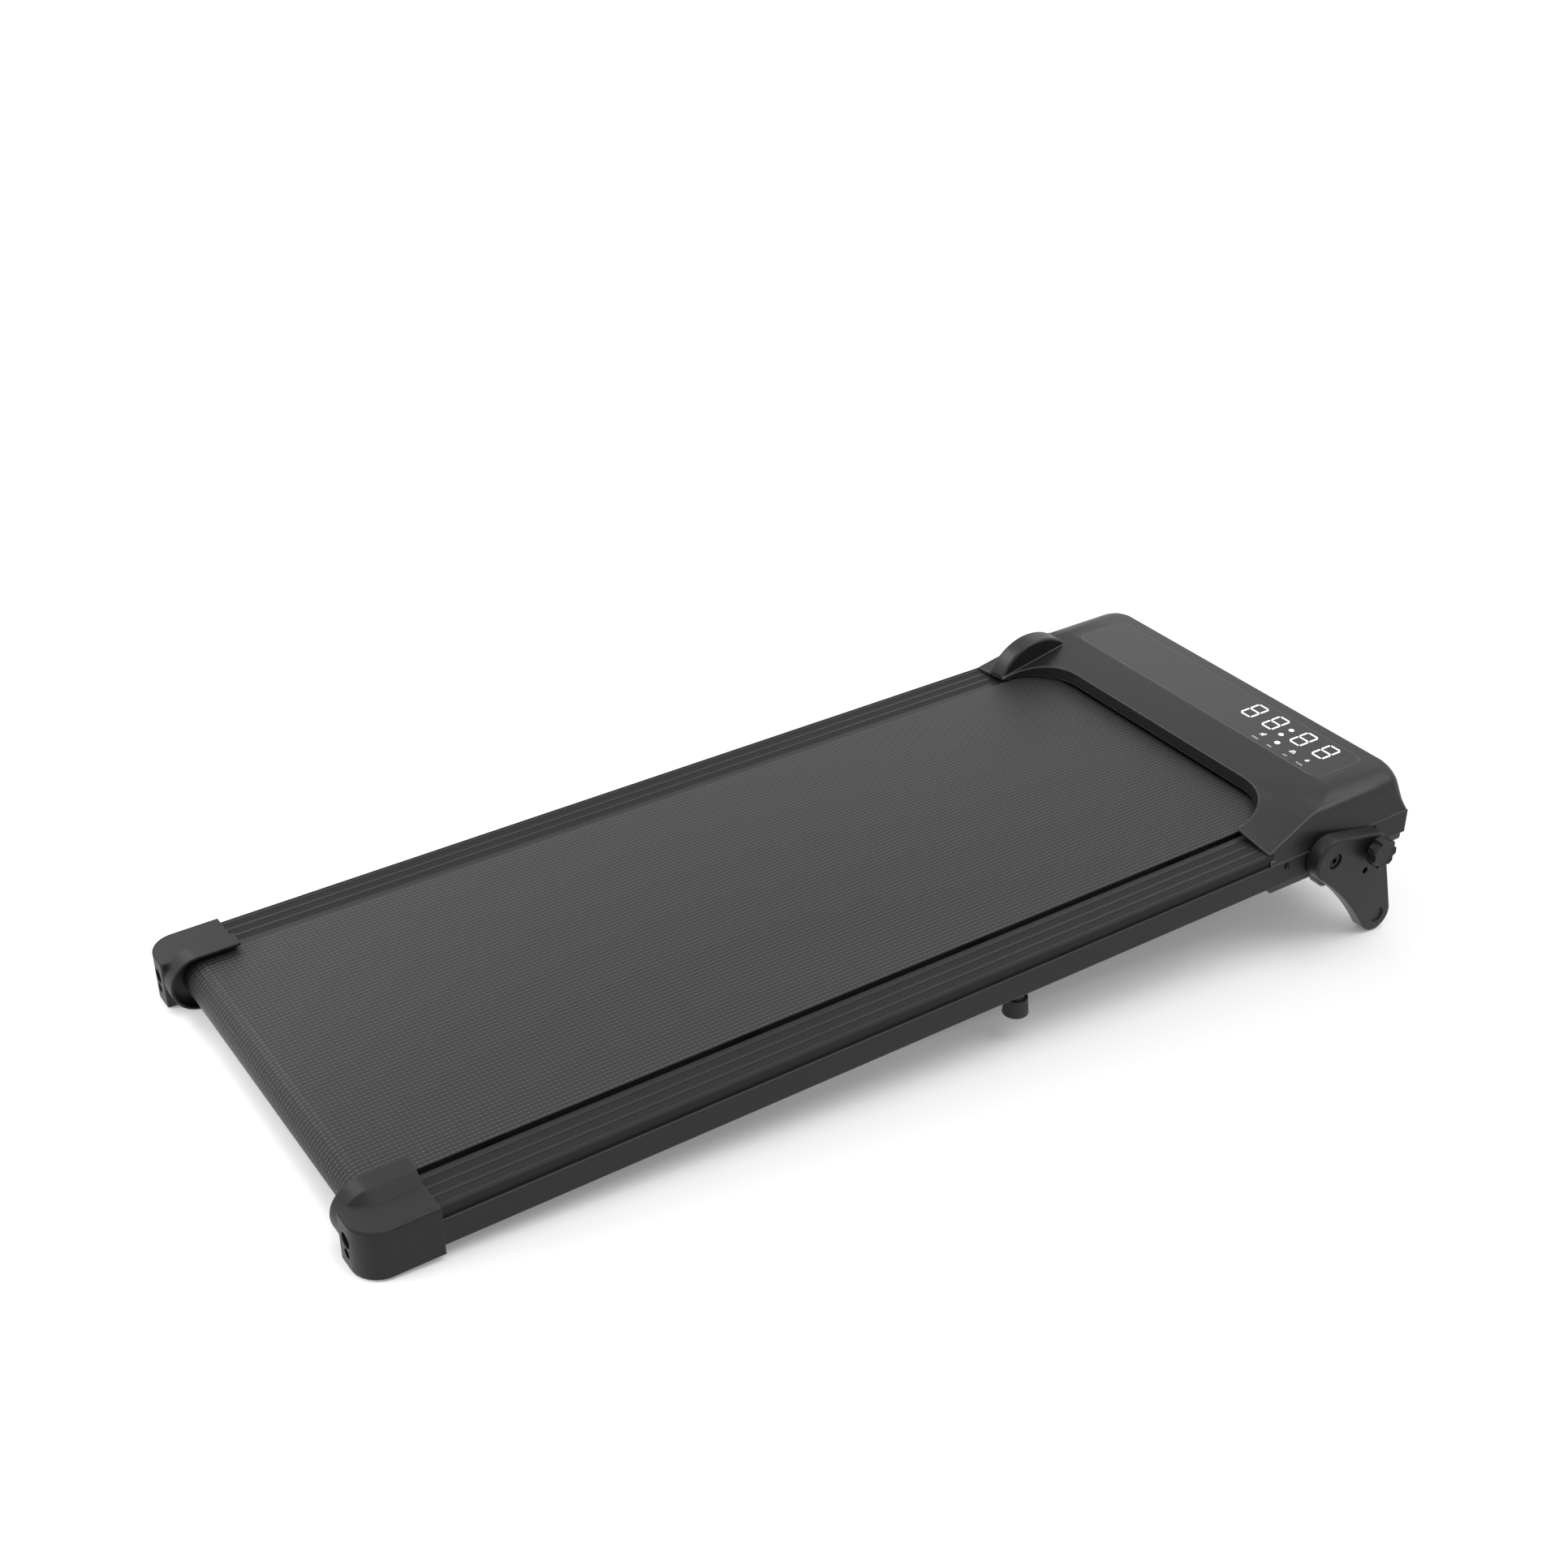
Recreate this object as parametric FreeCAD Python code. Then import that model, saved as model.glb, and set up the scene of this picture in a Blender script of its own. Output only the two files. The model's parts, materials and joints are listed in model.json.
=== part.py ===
"""Walking pad: flat under-desk treadmill with two fold-down incline legs.

The pieces are drawn with the pad level: X to the right, Y towards the hood, Z up,
zero at the top of the foot rails.  At the end the whole pad is tipped nose-up on its
legs, as it stands on a floor, and moved so that the floor is at zero.
All sizes are millimetres, all angles degrees.
"""
import FreeCAD, Part
import math
import os

V = FreeCAD.Vector

# Walking surface
BELT_WIDTH = 380.0
BELT_THICKNESS = 1.6
BELT_HEIGHT = 4.0              # top of the belt above the foot rails
ROLLER_SPACING = 1008.0
FRONT_ROLLER_Y = 455.0
ROLLER_RADIUS = 19.5
ROLLER_WALL = 2.5
ROLLER_OVERHANG = 1.0          # roller end past the belt edge
ROLLER_PLUG = 14.0
AXLE_RADIUS = 6.0
AXLE_FLAT = 3.8                # half height between the flats of the axle ends
BEARING_RADIUS = 14.0
BEARING_WIDTH = 8.0
DECK_THICKNESS = 12.0
DECK_SIDE_GAP = 1.0            # deck edge inside the belt edge
DECK_ROLLER_GAP = 9.0

# Frame
EDGE_GAP = 3.5                 # belt edge to foot rail
RAIL_WIDTH = 45.4
RAIL_HEIGHT = 11.2
RAIL_WALL = 1.8
RAIL_LIP = 7.5                 # plain inner lip
RAIL_BAND = 8.6                # one ribbed band
RAIL_STRIP = 3.4               # one plain strip between bands
RAIL_BANDS = 3
RIBS_PER_BAND = 6
BAND_DEPTH = 0.3
RIB_HEIGHT = 0.2
FRAME_LEDGE = 2.5              # side frame face outside the foot rail
FRAME_HEIGHT = 27.0
FRAME_FLANGE = 40.0
FRAME_WALL = 2.0
FRAME_CORNER = 3.0             # bevel of the upright rear corner, inside the cap
FRONT_BAY = 145.2              # front roller to the front of the frame
CROSS_TUBE = 20.0
CROSS_TUBE_WALL = 1.5
CROSS_TUBES = 4
FIRST_TUBE_GAP = 113.0         # first cross tube ahead of the rear roller axis
LAST_TUBE_GAP = 115.0          # last cross tube behind the front roller axis
CUSHION_RADIUS = 14.0
CUSHION_INSET = 30.0
AXLE_PLATE_THICKNESS = 4.0
AXLE_PLATE_EDGE = 4.0          # plate past the ends of its slot
AXLE_PLATE_GAP = 3.0           # rear plate to the rear end of the frame
AXLE_PLATE_INSET = 24.6        # plate from the inner edge of the side frame
AXLE_END = 2.0                 # axle past its plate
TENSION_TRAVEL = 10.0

# Rear end caps
CAP_LEAD = 34.3                # cap front edge ahead of the rear roller axis
CAP_TAIL = 18.0                # cap rear behind the side frame
CAP_WALL = 1.8
CAP_RISE = 3.6                 # cap top above the foot rails
CAP_DROP = 7.5                 # cap bottom below the side frame
CAP_CORNER = 26.0
CAP_INNER_CORNER = 2.5
CAP_EDGE = 2.5                 # rounding of the top edge
CAP_STEP_Y = 15.0              # step of the inner side behind the roller axis
CAP_STEP_X = 6.5               # width of that step
GUARD_GAP = 5.5                # belt to the guard's inside
GUARD_WALL = 2.5
GUARD_REACH = 10.0             # guard over the belt edge
GUARD_WIDTH = 19.0             # flat top of the guard
GUARD_SLOPE = 10.0             # from the flat top out to the cap
GUARD_SETBACK = 8.0            # middle of the guard's bend behind the roller axis
GUARD_EDGE = 1.2
RAIL_IN_CAP = 18.0
TENSION_HOLE = 7.5
CAP_SCREW_HOLE = 5.0
CAP_SCREW_DROP = 14.0          # cap screw below the tension bolt
TENSION_BOLT_INSET = 11.6      # from the inner edge of the side frame
TENSION_BOLT_RADIUS = 3.0
TENSION_BOLT_LENGTH = 44.0
TENSION_HEAD_RADIUS = 5.0
TENSION_HEAD = 6.0
CAP_SCREW_RADIUS = 2.0
CAP_SCREW_HEAD = 3.8
CAP_SCREW_GRIP = 3.0

# Hood
HOOD_MOTOR_GAP = 2.9           # motor to the hood's inside
HOOD_WALL = 2.5
LIP_SETBACK = 8.0              # lip ahead of the front roller axis
LIP_DROP = 9.5                 # lip below the flat top
SLOPE_LENGTH = 48.0            # sloped rear part of the hood top
LIP_CORNER = 57.0
HOOD_LEAST_CORNER = 1.0
HOOD_SHAPE = (                 # share of the height, side and front drawn in, corner radius
    (0.0, 0.0, 0.0, 3.0),
    (0.12, 2.6, 0.7, 5.0),
    (0.26, 4.9, 1.2, 8.0),
    (0.45, 7.3, 1.5, 11.0),
    (0.62, 9.4, 1.7, 13.0),
    (0.76, 12.4, 1.8, 14.0),
    (0.87, 17.0, 2.0, 15.0),
    (0.945, 23.0, 2.3, 15.0),
    (0.985, 29.0, 2.9, 15.0),
    (1.0, 35.0, 4.2, 14.0),
)
WING_LENGTH = 60.4
WING_INNER_HEIGHT = 8.7
WING_OUTER_HEIGHT = 1.6
WING_TIP_INSET = 4.4           # wing tip inside the frame face
WING_FLANK = 0.8               # share of the tip's height below its rounded edge
LIP_CLEARANCE = 1.5            # lip wall above the belt
RAIL_TUCK = 6.0                # foot rail under the wing
BULGE_CLEARANCE = 20.0         # pulley to the bulge
BULGE_SIDE = 3.5
NOTCH_GAP = 10.0               # pulleys to the notch in the left side frame
BULGE_EDGE = 3.0               # rounding along the bulge's two arcs
PANEL_SIDE_GAP = 51.4          # panel end inside the frame face
PANEL_WIDTH = 69.8
PANEL_FRONT_GAP = 19.0
PANEL_CORNER = 12.0
PANEL_THICKNESS = 1.2
PANEL_PROUD = 0.15
SIDE_SCREW_DROP = 7.3          # below the top of the side frame
SIDE_SCREW_SETBACKS = (173.8, 48.6)    # behind the front of the frame
SIDE_SCREW_RADIUS = 2.0
SIDE_SCREW_HEAD = 3.5
SIDE_SCREW_HEAD_HEIGHT = 1.4
TAB_WIDTH = 12.0
TAB_THICKNESS = 3.0
TAB_LENGTH = 13.0
TAB_ROOT = 3.5                 # tab up the inside of the hood's wall

# Drive
PULLEY_RADIUS = 36.0
PULLEY_WIDTH = 11.0
PULLEY_GAP = 7.0               # roller end to pulley
PULLEY_HUB = 12.0
PULLEY_RIM = 5.0
PULLEY_WEB = 4.0
DRIVE_BELT_THICKNESS = 2.2
MOTOR_PULLEY_RADIUS = 12.0
MOTOR_AHEAD = 93.0             # motor axis ahead of the front roller axis
MOTOR_BED_GAP = 2.8
MOTOR_RADIUS = 28.0
MOTOR_LENGTH = 150.0
MOTOR_PULLEY_GAP = 36.0        # drive pulleys to the motor
MOTOR_BOSS_RADIUS = 11.0
MOTOR_BOSS = 4.0
SHAFT_RADIUS = 4.0
SHAFT_SEAT = 20.0
FLYWHEEL_RADIUS = 26.0
FLYWHEEL_WIDTH = 10.0
FLYWHEEL_GAP = 3.0
CRADLE_WIDTH = 24.0
CRADLE_LENGTH = 18.0
CRADLE_SPACING = 92.0
CRADLE_HUG = 14.0              # cradle top below the motor axis
BED_THICKNESS = 2.0
BED_LENGTH = 96.0
BED_SIDE_GAP = 4.0
BED_PULLEY_GAP = 14.0          # left end of the bed to the drive pulleys
BOARD_LENGTH = 120.0
BOARD_WIDTH = 60.0
BOARD_THICKNESS = 1.6
BOARD_POST = 6.0
BOARD_GAP = 45.0               # motor to controller board
SINK_LENGTH = 70.0
SINK_WIDTH = 16.0
SINK_HEIGHT = 24.0
SINK_FINS = 7
SINK_FIN = 2.0
SINK_BASE = 4.0
DISPLAY_BOARD_GAP = 8.0        # end of the motor to the display board
DISPLAY_BOARD_INSET = 10.0     # display board inside the end of the panel
DISPLAY_BOARD_WIDTH = 44.0
DISPLAY_POST = 5.0

# Bottom pan
PAN_DROP = 11.0
PAN_WALL = 1.5
PAN_REAR = 45.0                # pan rear end behind the front roller axis
PAN_SIDE_GAP = 3.0
PAN_BELT_GAP = 1.6
PAN_PULLEY_GAP = 5.0
PAN_PULLEY_SIDE = 1.2
PAN_EDGE = 3.0

# Power entry, in the front cross member
ENTRY_SIDE = 91.4              # middle of the inlet from the left frame face
INLET_WIDTH = 27.0
INLET_HEIGHT = 18.8
INLET_DEPTH = 24.0
INLET_FLANGE = 1.4
SOCKET_WIDTH = 20.0
SOCKET_HEIGHT = 12.0
SOCKET_DEPTH = 17.0
BLADE_THICKNESS = 2.0
BLADE_WIDTH = 4.0
BLADE_SETBACK = 5.5            # blade tips below the mouth of the socket
SWITCH_SPACING = 36.0
SWITCH_WIDTH = 21.0
SWITCH_HEIGHT = 14.6
SWITCH_DEPTH = 14.0
SWITCH_RIM = 1.8
ROCKER_GAP = 0.9
ROCKER_ANGLE = 8.0
ROCKER_PIN = 1.2
ROCKER_PROUD = 2.6
BREAKER_SPACING = 62.0
BREAKER_RADIUS = 5.5
BREAKER_NUT = 8.0
BREAKER_DEPTH = 20.0

# Incline legs and their hardware
LEG_THICKNESS = 16.5
LEG_STANDOFF = 2.1             # leg inner face outside the side frame
LEG_PIVOT_SETBACK = 124.1      # behind the front of the frame
LEG_PIVOT_DROP = 9.7           # below the top of the side frame
LEG_PIVOT_RADIUS = 24.5
LEG_SHOULDER_AHEAD = 60.9      # from the pivot
LEG_SHOULDER_DROP = 1.1
LEG_SHOULDER_RADIUS = 13.0
LEG_TIP_AHEAD = 78.8           # from the pivot
LEG_TIP_DROP = 96.2
LEG_TIP_RADIUS = 20.0
LEG_HOLLOW_RADIUS = 350.0      # concave rear edge, tangent to both round ends
LEG_EDGE = 3.0
LEG_FOLD = 27.0                # turn between the two index holes
TIP_RECESS_RADIUS = 9.5
TIP_RECESS_DEPTH = 1.8
PIVOT_BOLT_RADIUS = 5.0
PIVOT_HEAD_RADIUS = 8.0
PIVOT_HEAD = 6.0
PIVOT_RECESS_RADIUS = 9.0
PIVOT_RECESS = 8.0
PIVOT_SOCKET = 3.0
PIVOT_SOCKET_DEPTH = 3.5
PIVOT_NUT_RADIUS = 7.4
PIVOT_NUT = 7.0
WASHER_RADIUS = 12.0
KNOB_ARM = 56.2                # index hole from the pivot
KNOB_ARM_ANGLE = -3.47
KNOB_RADIUS = 17.0
KNOB_LOBES = 7
KNOB_SCALLOP = 5.5
KNOB_SCALLOP_CIRCLE = 19.0
KNOB_HEIGHT = 16.0
KNOB_COLLAR = 9.0
KNOB_COLLAR_HEIGHT = 4.0
KNOB_DISH = 1.2
KNOB_EDGE = 1.5
KNOB_STUD_RADIUS = 3.8

# Wheels and feet
WHEEL_RADIUS = 13.0
WHEEL_WIDTH = 17.0
WHEEL_INSET = 18.4             # middle of the wheel inside the frame face
WHEEL_AHEAD = 48.0             # wheel axis ahead of the front roller axis
WHEEL_GAP = 0.8
WHEEL_EDGE = 2.5
WHEEL_AXLE_RADIUS = 4.0
WHEEL_AXLE_HEAD = 6.0
WHEEL_AXLE_HEAD_HEIGHT = 2.0
BRACKET_WALL = 2.0
BRACKET_LENGTH = 30.0
BRACKET_EAR = 8.0
FOOT_INSET = 16.4              # inside the frame face
FOOT_AHEAD = 643.0             # of the rear roller axis
FOOT_COLLAR_RADIUS = 8.0
FOOT_COLLAR_HEIGHT = 13.0
FOOT_TOP_RADIUS = 11.3
FOOT_SOLE_RADIUS = 12.9
FOOT_HEIGHT = 18.0
REAR_FOOT_LENGTH = 36.0
REAR_FOOT_WIDTH = 24.0
REAR_FOOT_INSET = 8.0
FLOOR_GAP = 1.2                # floor below the rear edge of the caps

# Clearances
SLACK = 0.3                    # between pieces that only pass each other
RUNNING = 0.05                 # radial, on a shaft that turns
OVERCUT = 1.0                  # how far a cut runs past the piece
TOUCH = 0.1                    # how near an edge lies to the place it is picked at
FULL_TURN = 360.0              # degrees

# Places that follow from the sizes above
REAR_ROLLER_Y = FRONT_ROLLER_Y - ROLLER_SPACING
BELT_EDGE = BELT_WIDTH / 2
BELT_UNDER = BELT_HEIGHT - BELT_THICKNESS
BELT_BEND = ROLLER_RADIUS + SLACK
BELT_OUTER_BEND = BELT_BEND + BELT_THICKNESS
ROLLER_Z = BELT_UNDER - BELT_BEND
BELT_LOWEST = ROLLER_Z - BELT_OUTER_BEND
ROLLER_END = BELT_EDGE + ROLLER_OVERHANG
RAIL_INNER = BELT_EDGE + EDGE_GAP
RAIL_OUTER = RAIL_INNER + RAIL_WIDTH
FRAME_FACE = RAIL_OUTER + FRAME_LEDGE
FRAME_WEB = FRAME_FACE - FRAME_WALL
FRAME_INNER = FRAME_FACE - FRAME_FLANGE
FRAME_TOP = -RAIL_HEIGHT
FRAME_BOTTOM = FRAME_TOP - FRAME_HEIGHT
FRAME_FRONT = FRONT_ROLLER_Y + FRONT_BAY
AXLE_PLATE_X = FRAME_INNER + AXLE_PLATE_INSET
AXLE_PLATE_REACH = AXLE_RADIUS + RUNNING + TENSION_TRAVEL / 2 + AXLE_PLATE_EDGE
FRAME_REAR = REAR_ROLLER_Y - AXLE_PLATE_REACH - AXLE_PLATE_GAP - FRAME_WALL
TENSION_BOLT_X = FRAME_INNER + TENSION_BOLT_INSET
TUBE_Z = (FRAME_TOP + FRAME_BOTTOM) / 2
TUBE_TOP = TUBE_Z + CROSS_TUBE / 2
FIRST_TUBE_Y = REAR_ROLLER_Y + FIRST_TUBE_GAP
TUBE_PITCH = (ROLLER_SPACING - FIRST_TUBE_GAP - LAST_TUBE_GAP) / (CROSS_TUBES - 1)
CROSS_TUBE_PLACES = [FIRST_TUBE_Y + step * TUBE_PITCH for step in range(CROSS_TUBES)]
DECK_TOP = BELT_UNDER - SLACK
DECK_BOTTOM = DECK_TOP - DECK_THICKNESS
CAP_FRONT = REAR_ROLLER_Y + CAP_LEAD
CAP_REAR = FRAME_REAR - CAP_TAIL
CAP_INNER = ROLLER_END + 2 * SLACK
CAP_FACE = FRAME_FACE + SLACK + CAP_WALL
CAP_BOTTOM = FRAME_BOTTOM - CAP_DROP
GUARD_RADIUS = BELT_OUTER_BEND + GUARD_GAP + GUARD_WALL
GUARD_Y = REAR_ROLLER_Y - GUARD_SETBACK
LIP_Y = FRONT_ROLLER_Y + LIP_SETBACK
SLOPE_TOP_Y = LIP_Y + SLOPE_LENGTH
WING_Y = LIP_Y - WING_LENGTH
WING_TIP = FRAME_FACE - WING_TIP_INSET
RAIL_FRONT = WING_Y + RAIL_TUCK
PULLEY_X = -(ROLLER_END + PULLEY_GAP)
PULLEY_FAR_X = PULLEY_X - PULLEY_WIDTH
BULGE_INNER = PULLEY_RADIUS + BULGE_CLEARANCE
BULGE_OUTER = BULGE_INNER + HOOD_WALL
SIDE_SCREW_PLACES = [FRAME_FRONT - setback for setback in SIDE_SCREW_SETBACKS]
BED_BOTTOM = FRAME_BOTTOM + FRAME_WALL
BED_TOP = BED_BOTTOM + BED_THICKNESS
BED_LEFT = PULLEY_X + BED_PULLEY_GAP
MOTOR_Y = FRONT_ROLLER_Y + MOTOR_AHEAD
MOTOR_Z = BED_TOP + MOTOR_BED_GAP + MOTOR_RADIUS
MOTOR_LEFT = PULLEY_X + MOTOR_PULLEY_GAP
MOTOR_RIGHT = MOTOR_LEFT + MOTOR_LENGTH
MOTOR_X = (MOTOR_LEFT + MOTOR_RIGHT) / 2
HOOD_TOP = MOTOR_Z + MOTOR_RADIUS + HOOD_MOTOR_GAP + HOOD_WALL
LIP_HEIGHT = HOOD_TOP - LIP_DROP
PANEL_END = FRAME_FACE - PANEL_SIDE_GAP
BOARD_X = MOTOR_RIGHT + BOARD_GAP + BOARD_LENGTH / 2
PAN_BOTTOM = FRAME_BOTTOM - PAN_DROP
ENTRY_X = ENTRY_SIDE - FRAME_FACE
ENTRY_Z = (FRAME_TOP + FRAME_BOTTOM) / 2
LEG_FACE = FRAME_FACE + LEG_STANDOFF
LEG_OUTER = LEG_FACE + LEG_THICKNESS
LEG_PIVOT = (FRAME_FRONT - LEG_PIVOT_SETBACK, FRAME_TOP - LEG_PIVOT_DROP)
LEG_SHOULDER = (LEG_PIVOT[0] + LEG_SHOULDER_AHEAD, LEG_PIVOT[1] - LEG_SHOULDER_DROP)
LEG_TIP = (LEG_PIVOT[0] + LEG_TIP_AHEAD, LEG_PIVOT[1] - LEG_TIP_DROP)
WHEEL_X = FRAME_FACE - WHEEL_INSET
WHEEL_Y = FRONT_ROLLER_Y + WHEEL_AHEAD
WHEEL_Z = PAN_BOTTOM - BRACKET_WALL - WHEEL_GAP - WHEEL_RADIUS
FOOT_X = FRAME_FACE - FOOT_INSET
FOOT_Y = REAR_ROLLER_Y + FOOT_AHEAD

pieces = {}


def box(x0, x1, y0, y1, z0, z1):
    """Box between two corners."""
    return Part.makeBox(x1 - x0, y1 - y0, z1 - z0, V(x0, y0, z0))


def rod_x(radius, x0, x1, y, z):
    """Cylinder along X."""
    return Part.makeCylinder(radius, x1 - x0, V(x0, y, z), V(1, 0, 0))


def rod_y(radius, y0, y1, x, z):
    """Cylinder along Y."""
    return Part.makeCylinder(radius, y1 - y0, V(x, y0, z), V(0, 1, 0))


def rod_z(radius, z0, z1, x, y):
    """Cylinder along Z."""
    return Part.makeCylinder(radius, z1 - z0, V(x, y, z0))


def hexagon_y(radius, y0, y1, x, z):
    """Hexagonal bar along Y, radius to its corners."""
    turns = [corner * math.pi / 3 for corner in range(6)]
    ring = [V(x + radius * math.cos(turn), y0, z + radius * math.sin(turn)) for turn in turns]
    return Part.Face(Part.makePolygon(ring + ring[:1])).extrude(V(0, y1 - y0, 0))


def slab_x(points, x0, x1):
    """Polygon of (y, z) points carried along X."""
    ring = [V(x0, y, z) for y, z in points]
    return Part.Face(Part.makePolygon(ring + ring[:1])).extrude(V(x1 - x0, 0, 0))


def slab_y(points, y0, y1):
    """Polygon of (x, z) points carried along Y."""
    ring = [V(x, y0, z) for x, z in points]
    return Part.Face(Part.makePolygon(ring + ring[:1])).extrude(V(0, y1 - y0, 0))


def turned_x(points, y, z):
    """Polygon of (x, radius) points turned about the X axis through (y, z)."""
    ring = [V(x, y, z + radius) for x, radius in points]
    return Part.Face(Part.makePolygon(ring + ring[:1])).revolve(V(0, y, z), V(1, 0, 0), FULL_TURN)


def joined(shapes):
    """One solid from overlapping or touching shapes."""
    first, *rest = shapes
    return first.fuse(rest).removeSplitter() if rest else first


def mirrored(shape):
    """The same piece on the other side of the pad."""
    return shape.mirror(V(0, 0, 0), V(1, 0, 0))


def on_circle(centre, radius, angle):
    """Point (y, z) of a circle at an angle from the Y axis."""
    turn = math.radians(angle)
    return centre[0] + radius * math.cos(turn), centre[1] + radius * math.sin(turn)


def arc_middle(centre, radius, first, second):
    """Middle of the clockwise arc of a circle from a first to a second point of it."""
    start = math.degrees(math.atan2(first[1] - centre[1], first[0] - centre[0]))
    end = math.degrees(math.atan2(second[1] - centre[1], second[0] - centre[0]))
    return on_circle(centre, radius, start - (start - end) % FULL_TURN / 2)


def outer_tangent(first, first_radius, second, second_radius):
    """Ends of the tangent that leaves two circles on the left of the way from first to second."""
    across = second[0] - first[0]
    along = second[1] - first[1]
    heading = math.atan2(along, across)
    lean = math.acos((first_radius - second_radius) / math.hypot(across, along))
    angle = math.degrees(heading + lean)
    return on_circle(first, first_radius, angle), on_circle(second, second_radius, angle)


def hollow_between(first, first_radius, second, second_radius, radius):
    """Centre of a concave arc that touches two circles from outside, and its angles on both of them."""
    reach = math.hypot(second[0] - first[0], second[1] - first[1])
    heading = math.atan2(second[1] - first[1], second[0] - first[0])
    near = first_radius + radius
    far = second_radius + radius
    lean = math.acos((near ** 2 + reach ** 2 - far ** 2) / (2 * near * reach))
    start = math.degrees(heading - lean)
    centre = on_circle(first, near, start)
    end = math.degrees(math.atan2(centre[1] - second[1], centre[0] - second[0]))
    return centre, start, end


def add(name, *solids):
    """Keep one piece, or a group of like pieces, under its name."""
    pieces[name] = solids[0] if len(solids) == 1 else Part.makeCompound(list(solids))


def add_pair(name, right):
    """Keep a piece and its mirror image under left and right names."""
    add(name + "_right", right)
    add(name + "_left", mirrored(right))


def belt_loop(radius):
    """Solid racetrack of the belt, round both rollers, at one bend radius."""
    low = ROLLER_Z - radius
    loop = [box(-BELT_EDGE, BELT_EDGE, REAR_ROLLER_Y, FRONT_ROLLER_Y, low, ROLLER_Z + radius)]
    for y in (REAR_ROLLER_Y, FRONT_ROLLER_Y):
        loop.append(rod_x(radius, -BELT_EDGE, BELT_EDGE, y, ROLLER_Z))
    return joined(loop)


def build_walking_surface():
    """Belt, deck board and the rubber cushions under it."""
    add("walking_belt", belt_loop(BELT_OUTER_BEND).cut(belt_loop(BELT_BEND)))
    half = BELT_EDGE - DECK_SIDE_GAP
    clear = ROLLER_RADIUS + DECK_ROLLER_GAP
    add("deck_board", box(-half, half, REAR_ROLLER_Y + clear, FRONT_ROLLER_Y - clear, DECK_BOTTOM, DECK_TOP))
    cushions = []
    for y in CROSS_TUBE_PLACES:
        for side in (-1, 1):
            x = side * (half - CUSHION_INSET)
            puck = rod_z(CUSHION_RADIUS, TUBE_TOP, DECK_BOTTOM, x, y)
            trim = box(x - CUSHION_RADIUS, x + CUSHION_RADIUS, y - CROSS_TUBE / 2, y + CROSS_TUBE / 2,
                       TUBE_TOP, DECK_BOTTOM)
            cushions.append(puck.common(trim))
    add("deck_cushions", *cushions)


def build_roller(name, y):
    """Roller tube with plugged ends, its bearings and its fixed axle."""
    inside = ROLLER_RADIUS - ROLLER_WALL
    pocket = ROLLER_END - BEARING_WIDTH
    plug = ROLLER_END - ROLLER_PLUG
    free = AXLE_RADIUS + ROLLER_OVERHANG
    half = [(0, inside), (plug, inside), (plug, free), (pocket, free), (pocket, BEARING_RADIUS),
            (ROLLER_END, BEARING_RADIUS), (ROLLER_END, ROLLER_RADIUS)]
    outline = half + [(-x, radius) for x, radius in reversed(half[1:])]
    add(name + "_roller", turned_x(outline, y, ROLLER_Z))
    bearings = []
    for x0 in (pocket, -ROLLER_END):
        ring = [(x0, AXLE_RADIUS + RUNNING), (x0 + BEARING_WIDTH, AXLE_RADIUS + RUNNING),
                (x0 + BEARING_WIDTH, BEARING_RADIUS), (x0, BEARING_RADIUS)]
        bearings.append(turned_x(ring, y, ROLLER_Z))
    add(name + "_roller_bearings", *bearings)
    end = AXLE_PLATE_X + AXLE_PLATE_THICKNESS + AXLE_END
    axle = rod_x(AXLE_RADIUS, -end, end, y, ROLLER_Z)
    for side in (-1, 1):
        x0, x1 = sorted((side * (FRAME_INNER - 2 * SLACK), side * end))
        for z in (ROLLER_Z + AXLE_FLAT, ROLLER_Z - AXLE_FLAT - AXLE_RADIUS):
            axle = axle.cut(box(x0, x1, y - AXLE_RADIUS, y + AXLE_RADIUS, z, z + AXLE_RADIUS))
    return axle


def axle_plate(y, travel):
    """Upright plate inside the side frame whose slot carries the flats of an axle end, right side."""
    far = AXLE_PLATE_X + AXLE_PLATE_THICKNESS
    half = AXLE_PLATE_REACH
    plate = box(AXLE_PLATE_X, far, y - half, y + half, FRAME_BOTTOM + FRAME_WALL, FRAME_TOP - FRAME_WALL)
    reach = AXLE_RADIUS + RUNNING + travel / 2
    flat = AXLE_FLAT + RUNNING
    return plate.cut(box(AXLE_PLATE_X, far, y - reach, y + reach, ROLLER_Z - flat, ROLLER_Z + flat))


def build_rollers():
    """Both rollers, their axles and plates, and the bolts that tension the belt."""
    add("front_axle", build_roller("front", FRONT_ROLLER_Y))
    axle = build_roller("rear", REAR_ROLLER_Y)
    cross_hole = TENSION_BOLT_RADIUS + RUNNING
    for x in (-TENSION_BOLT_X, TENSION_BOLT_X):
        axle = axle.cut(rod_y(cross_hole, REAR_ROLLER_Y - AXLE_RADIUS, REAR_ROLLER_Y + AXLE_RADIUS, x,
                              ROLLER_Z))
    add("rear_axle", axle)
    for name, y, travel in (("front", FRONT_ROLLER_Y, 0), ("rear", REAR_ROLLER_Y, TENSION_TRAVEL)):
        plate = axle_plate(y, travel)
        add(name + "_axle_plates", plate, mirrored(plate))
    seat = FRAME_REAR - SLACK
    head = hexagon_y(TENSION_HEAD_RADIUS, seat - TENSION_HEAD, seat, TENSION_BOLT_X, ROLLER_Z)
    shank = rod_y(TENSION_BOLT_RADIUS, seat, seat + TENSION_BOLT_LENGTH, TENSION_BOLT_X, ROLLER_Z)
    add_pair("tension_bolt", joined([head, shank]))


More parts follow.
